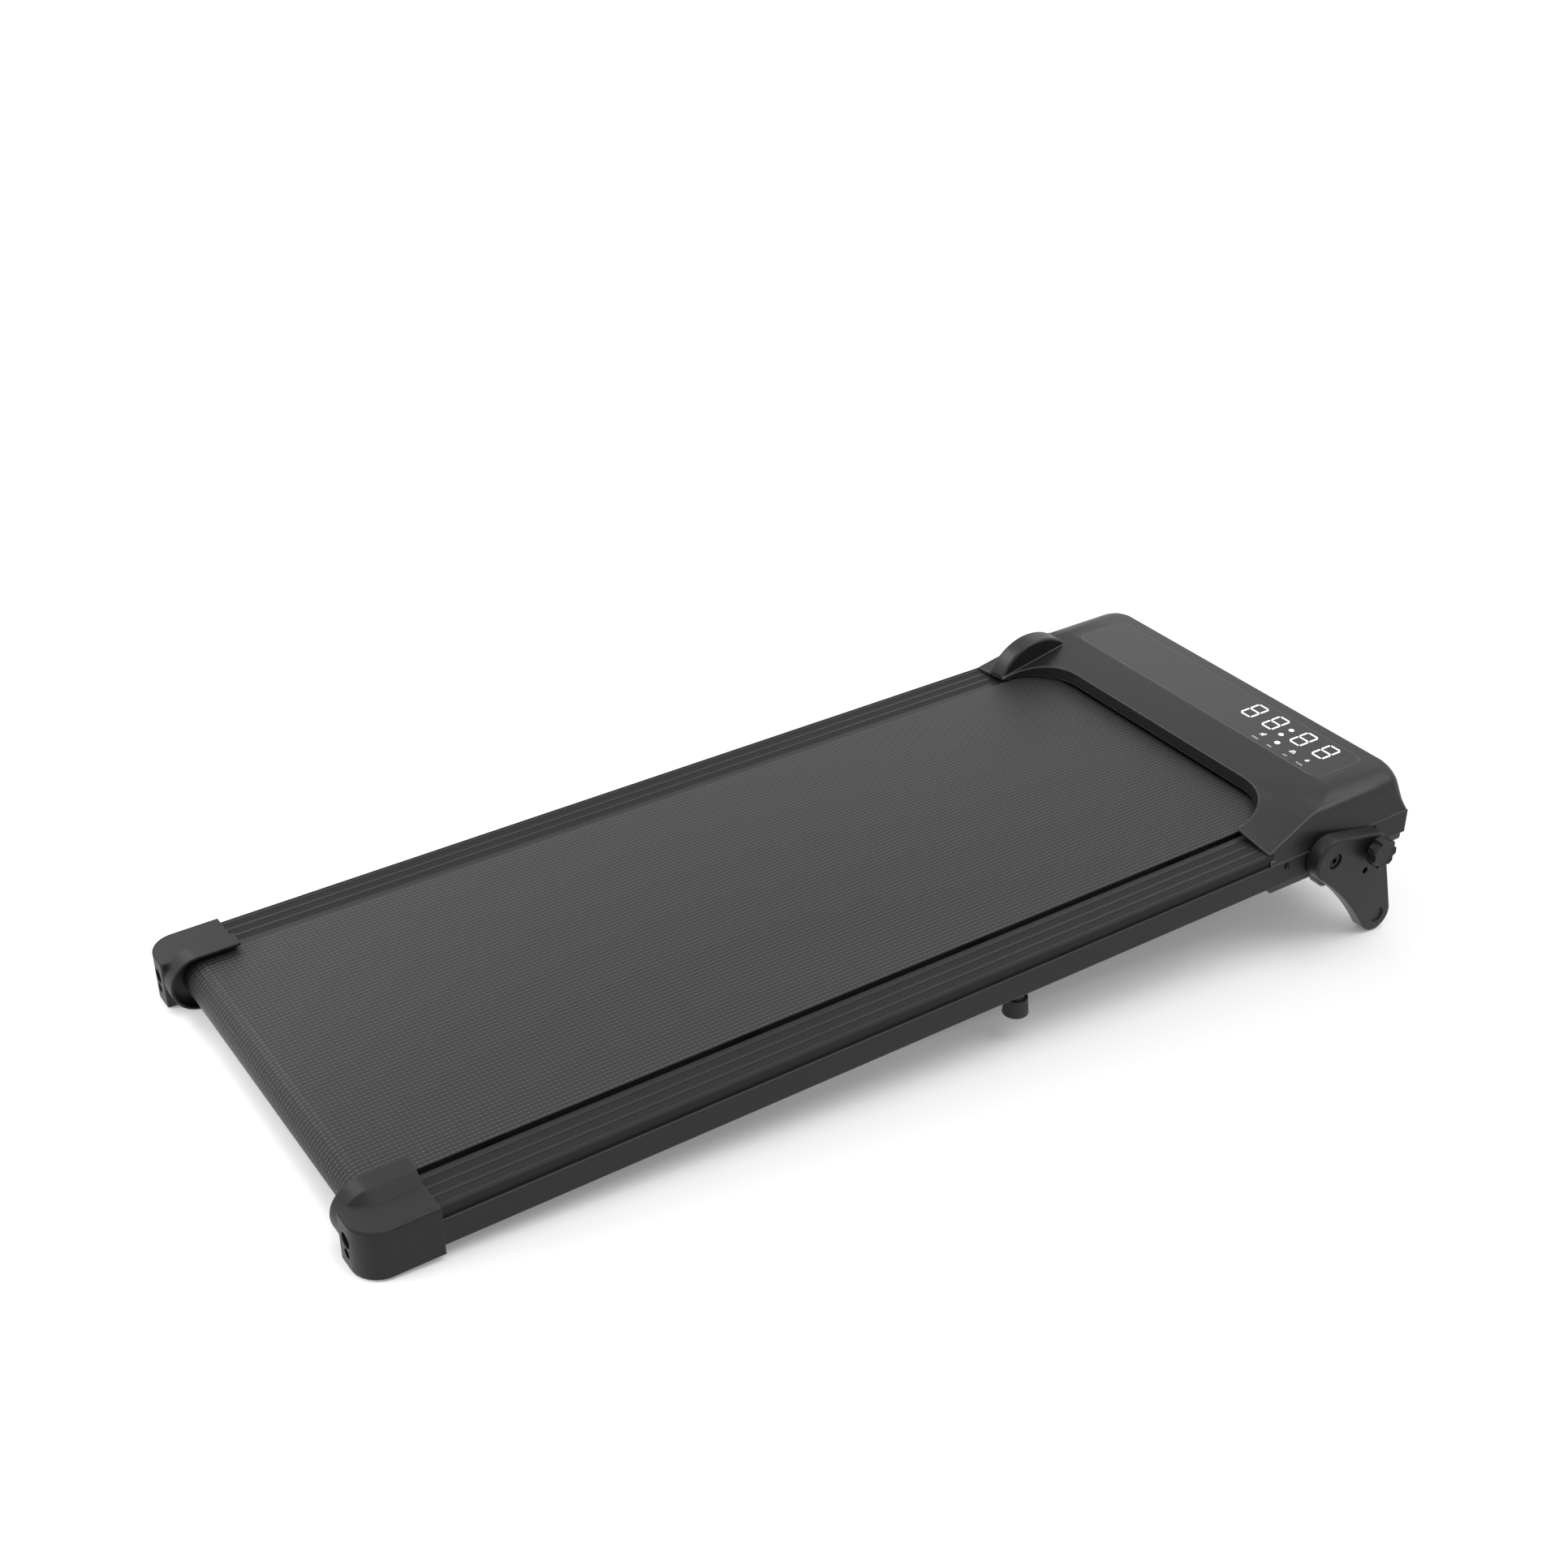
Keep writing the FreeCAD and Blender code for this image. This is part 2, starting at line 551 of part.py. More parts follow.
def corner_bevelled(block):
    """Block with a bevel on its upright edge that is outermost and rearmost."""
    reach = block.BoundBox
    corner = [edge for edge in block.Edges
              if edge.BoundBox.XMin > reach.XMax - TOUCH and edge.BoundBox.YMax < reach.YMin + TOUCH]
    return block.makeChamfer(FRAME_CORNER, corner)


def side_frame():
    """Inward-facing channel with a plate across its rear end, right side."""
    frame = box(FRAME_INNER, FRAME_FACE, FRAME_REAR, FRAME_FRONT, FRAME_BOTTOM, FRAME_TOP)
    frame = corner_bevelled(frame)
    inner_top = FRAME_TOP - FRAME_WALL
    inner_bottom = FRAME_BOTTOM + FRAME_WALL
    frame = frame.cut(box(FRAME_INNER - OVERCUT, FRAME_WEB, FRAME_REAR + FRAME_WALL,
                          FRAME_FRONT + OVERCUT, inner_bottom, inner_top))
    hole = TENSION_BOLT_RADIUS + RUNNING
    frame = frame.cut(rod_y(hole, FRAME_REAR - OVERCUT, FRAME_REAR + FRAME_WALL + OVERCUT,
                            TENSION_BOLT_X, ROLLER_Z))
    frame = frame.cut(rod_y(CAP_SCREW_RADIUS, FRAME_REAR - OVERCUT, FRAME_REAR + FRAME_WALL + OVERCUT,
                            TENSION_BOLT_X, ROLLER_Z - CAP_SCREW_DROP))
    frame = frame.cut(rod_x(PIVOT_BOLT_RADIUS, FRAME_WEB - OVERCUT, FRAME_FACE + OVERCUT, *LEG_PIVOT))
    for y in SIDE_SCREW_PLACES:
        frame = frame.cut(rod_x(SIDE_SCREW_RADIUS, FRAME_WEB - OVERCUT, FRAME_FACE + OVERCUT, y,
                                FRAME_TOP - SIDE_SCREW_DROP))
        half = TAB_WIDTH / 2 + SLACK
        frame = frame.cut(box(FRAME_WEB - TAB_THICKNESS - 2 * SLACK, FRAME_WEB, y - half, y + half,
                              inner_top - OVERCUT, FRAME_TOP + OVERCUT))
    return frame


def build_frame():
    """Side frames, front cross member, cross tubes and foot rails."""
    frame = side_frame()
    add("side_frame_right", frame)
    room = PULLEY_FAR_X - BULGE_SIDE
    start = FRONT_ROLLER_Y - PULLEY_RADIUS - NOTCH_GAP
    end = MOTOR_Y + MOTOR_PULLEY_RADIUS + NOTCH_GAP
    notch = box(room, -FRAME_INNER + OVERCUT, start, end, FRAME_BOTTOM - OVERCUT, FRAME_TOP + OVERCUT)
    add("side_frame_left", mirrored(frame).cut(notch))

    front = box(-FRAME_WEB, FRAME_WEB, FRAME_FRONT - FRAME_FLANGE / 2, FRAME_FRONT,
                FRAME_BOTTOM + FRAME_WALL, FRAME_TOP - FRAME_WALL)
    front = front.cut(box(-FRAME_WEB, FRAME_WEB, FRAME_FRONT - FRAME_FLANGE, FRAME_FRONT - FRAME_WALL,
                          FRAME_BOTTOM, FRAME_TOP - 2 * FRAME_WALL))
    skirt = box(-FRAME_INNER, FRAME_INNER, FRAME_FRONT - FRAME_WALL, FRAME_FRONT, FRAME_BOTTOM, FRAME_TOP)
    front = joined([front, skirt])
    for cut in entry_cutouts():
        front = front.cut(cut)
    add("front_cross_member", front)

    half = CROSS_TUBE / 2
    hollow = half - CROSS_TUBE_WALL
    for number, y in enumerate(CROSS_TUBE_PLACES, 1):
        tube = box(-FRAME_WEB, FRAME_WEB, y - half, y + half, TUBE_Z - half, TUBE_Z + half)
        tube = tube.cut(box(-FRAME_WEB, FRAME_WEB, y - hollow, y + hollow, TUBE_Z - hollow, TUBE_Z + hollow))
        add("cross_tube_%d" % number, tube)

    add_pair("side_rail", side_rail())


def side_rail():
    """Hollow foot rail with three ribbed bands along its top, right side."""
    top = [(RAIL_INNER, FRAME_TOP), (RAIL_INNER, 0)]
    pitch = RAIL_BAND / RIBS_PER_BAND
    x = RAIL_INNER + RAIL_LIP
    for band in range(RAIL_BANDS):
        top.append((x, 0))
        for rib in range(RIBS_PER_BAND):
            start = x + rib * pitch
            top.append((start, -BAND_DEPTH))
            top.append((start + pitch / 2, RIB_HEIGHT - BAND_DEPTH))
        x += RAIL_BAND
        top.append((x, -BAND_DEPTH))
        top.append((x, 0))
        x += RAIL_STRIP
    top.append((RAIL_OUTER, 0))
    top.append((RAIL_OUTER, FRAME_TOP))
    rear = CAP_FRONT - RAIL_IN_CAP
    rail = slab_y(top, rear, RAIL_FRONT)
    hollow = box(RAIL_INNER + RAIL_WALL, RAIL_OUTER - RAIL_WALL, rear, RAIL_FRONT,
                 FRAME_TOP + RAIL_WALL, -BAND_DEPTH - RAIL_WALL)
    return rail.cut(hollow)


def cap_plan(z0, z1):
    """Outer block of an end cap: rounded rear corner outside, stepped inner side."""
    step_y = REAR_ROLLER_Y - CAP_STEP_Y
    step_x = CAP_INNER + CAP_STEP_X
    low = CAP_REAR + CAP_INNER_CORNER
    bend = math.sqrt(0.5)
    corner = V(CAP_FACE - CAP_CORNER * (1 - bend), CAP_REAR + CAP_CORNER * (1 - bend), z0)
    inner = V(step_x + CAP_INNER_CORNER * (1 - bend), CAP_REAR + CAP_INNER_CORNER * (1 - bend), z0)
    a, b = V(CAP_INNER, CAP_FRONT, z0), V(CAP_FACE, CAP_FRONT, z0)
    c, d = V(CAP_FACE, CAP_REAR + CAP_CORNER, z0), V(CAP_FACE - CAP_CORNER, CAP_REAR, z0)
    e, f = V(step_x + CAP_INNER_CORNER, CAP_REAR, z0), V(step_x, low, z0)
    g, h = V(step_x, step_y, z0), V(CAP_INNER, step_y, z0)
    edges = [Part.LineSegment(a, b), Part.LineSegment(b, c), Part.Arc(c, corner, d), Part.LineSegment(d, e),
             Part.Arc(e, inner, f), Part.LineSegment(f, g), Part.LineSegment(g, h), Part.LineSegment(h, a)]
    return Part.Face(Part.Wire([edge.toShape() for edge in edges])).extrude(V(0, 0, z1 - z0))


def belt_guard():
    """Guard over the belt edge, flat on top and sloped down to the cap, that wraps on round the roller end."""
    x0 = BELT_EDGE - GUARD_REACH
    crest = x0 + GUARD_WIDTH
    foot = crest + GUARD_SLOPE
    top = ROLLER_Z + GUARD_RADIUS
    foot_radius = CAP_RISE - ROLLER_Z
    outline = [(x0, 0), (x0, GUARD_RADIUS), (crest, GUARD_RADIUS), (foot, foot_radius), (foot, 0)]
    shroud = turned_x(outline, GUARD_Y, ROLLER_Z)
    shroud = shroud.cut(box(x0, foot, GUARD_Y, GUARD_Y + GUARD_RADIUS, ROLLER_Z - GUARD_RADIUS, top))
    under = CAP_RISE - GUARD_WALL
    lid = slab_y([(x0, under), (x0, top), (crest, top), (foot, CAP_RISE), (foot, under)], GUARD_Y, CAP_FRONT)
    guard = joined([shroud, lid])
    inner_edges = [edge for edge in guard.Edges
                   if edge.BoundBox.ZMin > top - TOUCH and edge.BoundBox.YLength > GUARD_WALL
                   and edge.BoundBox.XMax < x0 + TOUCH]
    return guard.makeFillet(GUARD_EDGE, inner_edges)


def end_cap():
    """Moulded rear cap that slips over the ends of the side frame and foot rail, right side."""
    block = cap_plan(CAP_BOTTOM, CAP_RISE)
    rim = [edge for edge in block.Edges
           if edge.BoundBox.ZMin > CAP_RISE - TOUCH and edge.BoundBox.XMin > CAP_INNER + CAP_STEP_X - TOUCH
           and not (edge.BoundBox.YMin > CAP_FRONT - TOUCH)]
    block = block.makeFillet(CAP_EDGE, rim)
    cap = joined([block, belt_guard()])
    x0 = BELT_EDGE - GUARD_REACH
    hollow = GUARD_RADIUS - GUARD_WALL
    cap = cap.cut(rod_x(hollow, x0 - OVERCUT, CAP_INNER, GUARD_Y, ROLLER_Z))
    cap = cap.cut(box(x0 - OVERCUT, CAP_INNER, GUARD_Y, CAP_FRONT + OVERCUT,
                      ROLLER_Z - GUARD_RADIUS, ROLLER_Z + hollow))
    frame_pocket = box(FRAME_INNER - SLACK, FRAME_FACE + SLACK, FRAME_REAR - SLACK, CAP_FRONT + OVERCUT,
                       FRAME_BOTTOM - SLACK, FRAME_TOP + SLACK)
    rail_rear = CAP_FRONT - RAIL_IN_CAP - SLACK
    rail_pocket = box(RAIL_INNER - SLACK, RAIL_OUTER + SLACK, rail_rear, CAP_FRONT + OVERCUT,
                      FRAME_TOP - SLACK, SLACK)
    cap = cap.cut(corner_bevelled(frame_pocket)).cut(rail_pocket)
    slot = AXLE_RADIUS + 2 * SLACK
    cap = cap.cut(box(CAP_INNER - OVERCUT, FRAME_INNER, REAR_ROLLER_Y - TENSION_TRAVEL / 2 - slot,
                      CAP_FRONT + OVERCUT, ROLLER_Z - slot, ROLLER_Z + slot))
    bore = CAP_REAR - OVERCUT
    cap = cap.cut(rod_y(TENSION_HOLE, bore, FRAME_REAR, TENSION_BOLT_X, ROLLER_Z))
    screw_z = ROLLER_Z - CAP_SCREW_DROP
    seat = FRAME_REAR - SLACK - CAP_SCREW_GRIP
    cap = cap.cut(rod_y(CAP_SCREW_HOLE, bore, seat, TENSION_BOLT_X, screw_z))
    return cap.cut(rod_y(CAP_SCREW_RADIUS, seat - OVERCUT, FRAME_REAR, TENSION_BOLT_X, screw_z))


def build_rear():
    """End caps and the screws that hold them."""
    add_pair("end_cap", end_cap())
    screw_z = ROLLER_Z - CAP_SCREW_DROP
    seat = FRAME_REAR - SLACK - CAP_SCREW_GRIP
    head = rod_y(CAP_SCREW_HEAD, seat - CAP_SCREW_RADIUS, seat, TENSION_BOLT_X, screw_z)
    shank = rod_y(CAP_SCREW_RADIUS, seat, FRAME_REAR + 2 * CAP_SCREW_GRIP, TENSION_BOLT_X, screw_z)
    screw = joined([head, shank])
    add("cap_screws", screw, mirrored(screw))


def hood_levels(inset):
    """Plan sections of the hood: height, half width, front and corner radius, a wall's inset inside."""
    rise = HOOD_TOP - FRAME_TOP
    levels = []
    for share, side, front, corner in HOOD_SHAPE:
        z = FRAME_TOP + share * (rise - inset)
        radius = max(corner - inset, HOOD_LEAST_CORNER)
        levels.append((z, FRAME_FACE - side - inset, FRAME_FRONT - front - inset, radius))
    return levels


def hood_section(z, half, front, corner, rear):
    """Plan section: square at the rear, round corners at the front."""
    bend = corner * (1 - math.sqrt(0.5))
    a, b = V(-half, rear, z), V(half, rear, z)
    c, d = V(half, front - corner, z), V(half - corner, front, z)
    e, f = V(corner - half, front, z), V(-half, front - corner, z)
    edges = [Part.LineSegment(a, b), Part.LineSegment(b, c), Part.Arc(c, V(half - bend, front - bend, z), d),
             Part.LineSegment(d, e), Part.Arc(e, V(bend - half, front - bend, z), f), Part.LineSegment(f, a)]
    return Part.Wire([edge.toShape() for edge in edges])


def hood_body(inset, below):
    """Main box of the hood under its flat top and sloped rear part."""
    levels = hood_levels(inset)
    body = Part.makeLoft([hood_section(*level, LIP_Y) for level in levels], True, True)
    if below:
        z, half, front, corner = levels[0]
        foot = hood_section(z, half, front, corner, LIP_Y)
        body = joined([body, Part.Face(foot).extrude(V(0, 0, -below))])
    top = HOOD_TOP - inset
    lip = LIP_HEIGHT - inset
    foot = FRAME_TOP - below
    front = FRAME_FRONT + OVERCUT
    slope = [(LIP_Y, foot), (LIP_Y, lip), (SLOPE_TOP_Y, top), (SLOPE_TOP_Y, top + OVERCUT)]
    under = slab_x(slope + [(front, top + OVERCUT), (front, foot)], -FRAME_FACE - OVERCUT, FRAME_FACE + OVERCUT)
    return body.common(under)


def hood_wing(inset, below, rear):
    """Right foot wing, twisted from the hood's own section at the lip to the sloping tip over the foot rail."""
    inner = BELT_EDGE - LIP_CORNER
    fall = (WING_INNER_HEIGHT - WING_OUTER_HEIGHT) / (WING_TIP - BELT_EDGE)
    lip = LIP_HEIGHT - inset
    foot = FRAME_TOP - below
    levels = hood_levels(inset)
    flank = [level for level in levels if level[0] < lip]
    under, over = flank[-1], levels[len(flank)]
    crest = under[1] + (over[1] - under[1]) * (lip - under[0]) / (over[0] - under[0])
    at_lip = [(inner, foot), (inner, lip), (crest, lip)]
    at_tip = [(inner, foot), (inner, WING_INNER_HEIGHT + fall * LIP_CORNER - inset),
              (WING_TIP - inset, WING_OUTER_HEIGHT - inset)]
    for z, half, front, corner in reversed(flank):
        share = WING_FLANK * (z - FRAME_TOP) / (under[0] - FRAME_TOP)
        sunk = below if z == FRAME_TOP else 0
        at_lip.append((half, z - sunk))
        low = FRAME_TOP + share * (WING_OUTER_HEIGHT - inset - FRAME_TOP)
        edge = FRAME_FACE - inset - share * (FRAME_FACE - WING_TIP)
        at_tip.append((edge, low - sunk))
    wires = []
    for y, ring in ((rear, at_tip), (LIP_Y, at_lip)):
        points = [V(x, y, z) for x, z in ring]
        wires.append(Part.makePolygon(points + points[:1]))
    return Part.makeLoft(wires, True, True)


def hood_opening(offset):
    """Space over the belt: straight lip with round corners into the wings, grown by an offset."""
    half = BELT_EDGE + offset
    lip = LIP_Y + offset
    radius = LIP_CORNER + offset
    bend = radius * math.sqrt(0.5)
    side = BELT_EDGE - LIP_CORNER
    start = LIP_Y - LIP_CORNER
    rear = WING_Y - WING_LENGTH
    z0 = FRAME_BOTTOM
    a, b = V(-half, rear, z0), V(half, rear, z0)
    c, d = V(half, start, z0), V(side, lip, z0)
    e, f = V(-side, lip, z0), V(-half, start, z0)
    right = V(side + bend, start + bend, z0)
    left = V(-side - bend, start + bend, z0)
    edges = [Part.LineSegment(a, b), Part.LineSegment(b, c), Part.Arc(c, right, d), Part.LineSegment(d, e),
             Part.Arc(e, left, f), Part.LineSegment(f, a)]
    plan = Part.Wire([edge.toShape() for edge in edges])
    return Part.Face(plan).extrude(V(0, 0, HOOD_TOP + BULGE_OUTER - z0))


def pulley_bulge(radius, side, rear):
    """Arched room over the drive pulley, on the left wing only, from a rear end on."""
    x0, x1 = PULLEY_FAR_X - side, PULLEY_X + side
    arch = rod_x(radius, x0, x1, FRONT_ROLLER_Y, ROLLER_Z)
    if side > BULGE_SIDE:
        arch = arch.makeFillet(BULGE_EDGE, [edge for edge in arch.Edges if edge.BoundBox.XLength < TOUCH])
    return arch.common(box(x0, x1, rear, FRONT_ROLLER_Y + radius, FRAME_TOP, ROLLER_Z + radius))


def build_hood():
    """Moulded motor hood, its display panel and the board under it."""
    right = hood_wing(0, 0, WING_Y)
    outer = hood_body(0, 0).fuse([right, mirrored(right)]).cut(hood_opening(0))
    outer = outer.fuse(pulley_bulge(BULGE_OUTER, BULGE_SIDE + HOOD_WALL, WING_Y))
    right = hood_wing(HOOD_WALL, OVERCUT, WING_Y - OVERCUT)
    inner = hood_body(HOOD_WALL, OVERCUT).fuse([right, mirrored(right)]).cut(hood_opening(HOOD_WALL))
    hood = outer.cut(inner).cut(pulley_bulge(BULGE_INNER, BULGE_SIDE, WING_Y + HOOD_WALL))

    lip_foot = BELT_HEIGHT + LIP_CLEARANCE
    hood = hood.cut(box(-RAIL_INNER, RAIL_INNER, WING_Y - OVERCUT, LIP_Y + HOOD_WALL + SLACK,
                        FRAME_TOP - OVERCUT, lip_foot))
    hood = hood.cut(rod_x(PULLEY_HUB + BULGE_SIDE, PULLEY_X, -BELT_EDGE, FRONT_ROLLER_Y, ROLLER_Z))
    for side in (-1, 1):
        x0, x1 = sorted((side * (RAIL_INNER - SLACK), side * (RAIL_OUTER + SLACK)))
        hood = hood.cut(box(x0, x1, WING_Y - OVERCUT, RAIL_FRONT + SLACK, FRAME_TOP - OVERCUT, SLACK))

    panel_y = FRAME_FRONT - PANEL_FRONT_GAP - PANEL_WIDTH
    recess_z = HOOD_TOP - PANEL_THICKNESS + PANEL_PROUD
    panel = box(-PANEL_END, PANEL_END, panel_y, panel_y + PANEL_WIDTH, recess_z, HOOD_TOP + PANEL_PROUD)
    panel = panel.makeFillet(PANEL_CORNER,
                             [edge for edge in panel.Edges if edge.BoundBox.ZLength > PANEL_THICKNESS / 2])
    hood = hood.cut(panel)

    tabs = []
    holes = []
    for y in SIDE_SCREW_PLACES:
        for side in (-1, 1):
            near, far = side * (FRAME_WEB - TAB_THICKNESS - SLACK), side * (FRAME_WEB - SLACK)
            tab = box(min(near, far), max(near, far), y - TAB_WIDTH / 2, y + TAB_WIDTH / 2,
                      FRAME_TOP - TAB_LENGTH, FRAME_TOP + TAB_ROOT)
            tabs.append(tab)
            ends = sorted((near - side, far + side))
            holes.append(rod_x(SIDE_SCREW_RADIUS, *ends, y, FRAME_TOP - SIDE_SCREW_DROP))
    hood = joined([hood] + tabs)
    for hole in holes:
        hood = hood.cut(hole)
    add("hood", hood)
    add("display_panel", panel)

    board_top = HOOD_TOP - HOOD_WALL - DISPLAY_POST
    middle = panel_y + PANEL_WIDTH / 2
    half = DISPLAY_BOARD_WIDTH / 2
    start = MOTOR_RIGHT + DISPLAY_BOARD_GAP
    end = PANEL_END - DISPLAY_BOARD_INSET
    board = box(start, end, middle - half, middle + half, board_top - BOARD_THICKNESS, board_top)
    posts = []
    for x in (start + DISPLAY_POST, end - DISPLAY_POST):
        for side in (-1, 1):
            y = middle + side * (half - DISPLAY_POST)
            posts.append(rod_z(DISPLAY_POST / 2, board_top - BOARD_THICKNESS, HOOD_TOP - HOOD_WALL, x, y))
    add("display_board", joined([board] + posts))

    screws = []
    for y in SIDE_SCREW_PLACES:
        z = FRAME_TOP - SIDE_SCREW_DROP
        head = rod_x(SIDE_SCREW_HEAD, FRAME_FACE, FRAME_FACE + SIDE_SCREW_HEAD_HEIGHT, y, z)
        shank = rod_x(SIDE_SCREW_RADIUS, FRAME_WEB - 2 * TAB_THICKNESS, FRAME_FACE, y, z)
        screw = joined([head, shank])
        screws += [screw, mirrored(screw)]
    add("side_screws", *screws)


def build_drive():
    """Roller pulley, motor with its shaft, flywheel and pulley, and the drive belt."""
    bore = AXLE_RADIUS + 2 * SLACK
    rim = PULLEY_RADIUS - PULLEY_RIM
    web = PULLEY_FAR_X + PULLEY_WEB
    outline = [(PULLEY_FAR_X, bore), (PULLEY_FAR_X, PULLEY_RADIUS), (PULLEY_X, PULLEY_RADIUS), (PULLEY_X, rim),
               (web, rim), (web, PULLEY_HUB), (-ROLLER_END, PULLEY_HUB), (-ROLLER_END, bore)]
    add("roller_pulley", turned_x(outline, FRONT_ROLLER_Y, ROLLER_Z))

    add("drive_belt", drive_loop(DRIVE_BELT_THICKNESS + SLACK, 0).cut(drive_loop(SLACK, 0)))

    nose = MOTOR_LEFT - MOTOR_BOSS
    seat = MOTOR_LEFT + SHAFT_SEAT
    bore = SHAFT_RADIUS + RUNNING
    shoulder = MOTOR_RADIUS - MOTOR_BOSS
    outline = [(nose, bore), (nose, MOTOR_BOSS_RADIUS), (MOTOR_LEFT, MOTOR_BOSS_RADIUS), (MOTOR_LEFT, shoulder),
               (MOTOR_LEFT + MOTOR_BOSS, MOTOR_RADIUS), (MOTOR_RIGHT - MOTOR_BOSS, MOTOR_RADIUS),
               (MOTOR_RIGHT, shoulder), (MOTOR_RIGHT, 0), (seat + SLACK, 0), (seat + SLACK, bore)]
    add("motor", turned_x(outline, MOTOR_Y, MOTOR_Z))

    shaft = rod_x(SHAFT_RADIUS, PULLEY_FAR_X, seat, MOTOR_Y, MOTOR_Z)
    wheel_x = nose - FLYWHEEL_GAP - FLYWHEEL_WIDTH
    flywheel = rod_x(FLYWHEEL_RADIUS, wheel_x, wheel_x + FLYWHEEL_WIDTH, MOTOR_Y, MOTOR_Z)
    add("motor_shaft", joined([shaft, flywheel]))
    rim = rod_x(MOTOR_PULLEY_RADIUS, PULLEY_FAR_X, PULLEY_X, MOTOR_Y, MOTOR_Z)
    add("motor_pulley", rim.cut(rod_x(SHAFT_RADIUS, PULLEY_FAR_X, PULLEY_X, MOTOR_Y, MOTOR_Z)))

    bed_front = FRAME_FRONT - FRAME_WALL
    add("motor_bed", box(BED_LEFT, FRAME_WEB - BED_SIDE_GAP, bed_front - BED_LENGTH, bed_front,
                         BED_BOTTOM, BED_TOP))

    cradles = []
    for side in (-1, 1):
        x = MOTOR_X + side * CRADLE_SPACING / 2
        x0, x1 = x - CRADLE_LENGTH / 2, x + CRADLE_LENGTH / 2
        block = box(x0, x1, MOTOR_Y - CRADLE_WIDTH, MOTOR_Y + CRADLE_WIDTH, BED_TOP, MOTOR_Z - CRADLE_HUG)
        cradles.append(block.cut(rod_x(MOTOR_RADIUS + RUNNING, x0, x1, MOTOR_Y, MOTOR_Z)))
    add("motor_cradles", *cradles)


def drive_loop(offset, side):
    """Solid drive belt loop round both pulleys, an offset outside them and wider by a side."""
    small = MOTOR_PULLEY_RADIUS + offset
    large = PULLEY_RADIUS + offset
    front, rear = (MOTOR_Y, MOTOR_Z), (FRONT_ROLLER_Y, ROLLER_Z)
    top = outer_tangent(rear, large, front, small)
    low = outer_tangent(front, small, rear, large)
    ends = (PULLEY_FAR_X - side, PULLEY_X + side)
    wedge = slab_x([top[0], top[1], low[0], low[1]], *ends)
    return joined([wedge, rod_x(small, *ends, *front), rod_x(large, *ends, *rear)])


def build_electronics():
    """Controller board on posts and its finned heat sink, on the motor bed."""
    y = MOTOR_Y
    rear_half = y - BOARD_WIDTH / 4
    z = BED_TOP + BOARD_POST
    half = BOARD_LENGTH / 2
    board = box(BOARD_X - half, BOARD_X + half, y - BOARD_WIDTH / 2, y + BOARD_WIDTH / 2, z,
                z + BOARD_THICKNESS)
    extras = []
    for x in (BOARD_X - half + BOARD_POST, BOARD_X + half - BOARD_POST):
        for side in (-1, 1):
            extras.append(rod_z(BOARD_POST / 2, BED_TOP, z, x, y + side * (BOARD_WIDTH / 2 - BOARD_POST)))
    for step in (0, 1):
        extras.append(rod_z(BOARD_POST, z, z + SINK_HEIGHT, BOARD_X - half + BOARD_POST * (2 + 3 * step),
                            rear_half))
    extras.append(box(BOARD_X + half / 2, BOARD_X + half - BOARD_POST,
                      rear_half - BOARD_POST, rear_half + BOARD_POST, z, z + SINK_HEIGHT / 2))
    add("controller_board", joined([board] + extras))
    base_z = z + BOARD_THICKNESS
    x0 = BOARD_X - SINK_LENGTH / 2
    y0 = y + BOARD_WIDTH / 2 - BOARD_POST * 1.5 - SINK_WIDTH
    sink = [box(x0, x0 + SINK_LENGTH, y0, y0 + SINK_WIDTH, base_z, base_z + SINK_BASE)]
    pitch = (SINK_LENGTH - SINK_FIN) / (SINK_FINS - 1)
    for fin in range(SINK_FINS):
        x = x0 + fin * pitch
        sink.append(box(x, x + SINK_FIN, y0, y0 + SINK_WIDTH, base_z, base_z + SINK_HEIGHT))
    add("heat_sink", joined(sink))


def build_pan():
    """Bottom pan under the motor bay, with a pocket for the drive pulley on the left."""
    half = FRAME_FACE - PAN_SIDE_GAP
    rear = FRONT_ROLLER_Y - PAN_REAR
    front = FRAME_FRONT - FRAME_WALL
    pan = box(-half, half, rear, front, PAN_BOTTOM, FRAME_BOTTOM)
    low_edges = [edge for edge in pan.Edges if edge.BoundBox.ZMax < PAN_BOTTOM + TOUCH]
    pan = pan.makeFillet(PAN_EDGE, low_edges)
    above = box(-half, half, rear - OVERCUT, front + OVERCUT, FRAME_BOTTOM, HOOD_TOP)
    pocket = drive_loop(PAN_PULLEY_GAP + PAN_WALL, PAN_PULLEY_SIDE + PAN_WALL).cut(above)
    pan = joined([pan, pocket])
    pan = pan.cut(box(PAN_EDGE - half, half - PAN_EDGE, rear + PAN_EDGE, front - PAN_EDGE,
                      PAN_BOTTOM + PAN_WALL, FRAME_BOTTOM))
    pan = pan.cut(drive_loop(PAN_PULLEY_GAP, PAN_PULLEY_SIDE))
    belt_way = BELT_EDGE + 2 * PAN_BELT_GAP
    pan = pan.cut(box(-belt_way, belt_way, rear - OVERCUT, FRONT_ROLLER_Y, BELT_LOWEST - PAN_BELT_GAP,
                      FRAME_BOTTOM))
    add("bottom_pan", pan)


def entry_cutouts():
    """Openings in the front cross member for the inlet, the switch and the breaker."""
    y0 = FRAME_FRONT - FRAME_WALL - OVERCUT
    y1 = FRAME_FRONT + OVERCUT
    inlet = plate_y(ENTRY_X, INLET_WIDTH, INLET_HEIGHT, y0, y1)
    switch = plate_y(ENTRY_X + SWITCH_SPACING, SWITCH_WIDTH, SWITCH_HEIGHT, y0, y1)
    breaker = rod_y(BREAKER_RADIUS, y0, y1, ENTRY_X + BREAKER_SPACING, ENTRY_Z)
    return inlet, switch, breaker


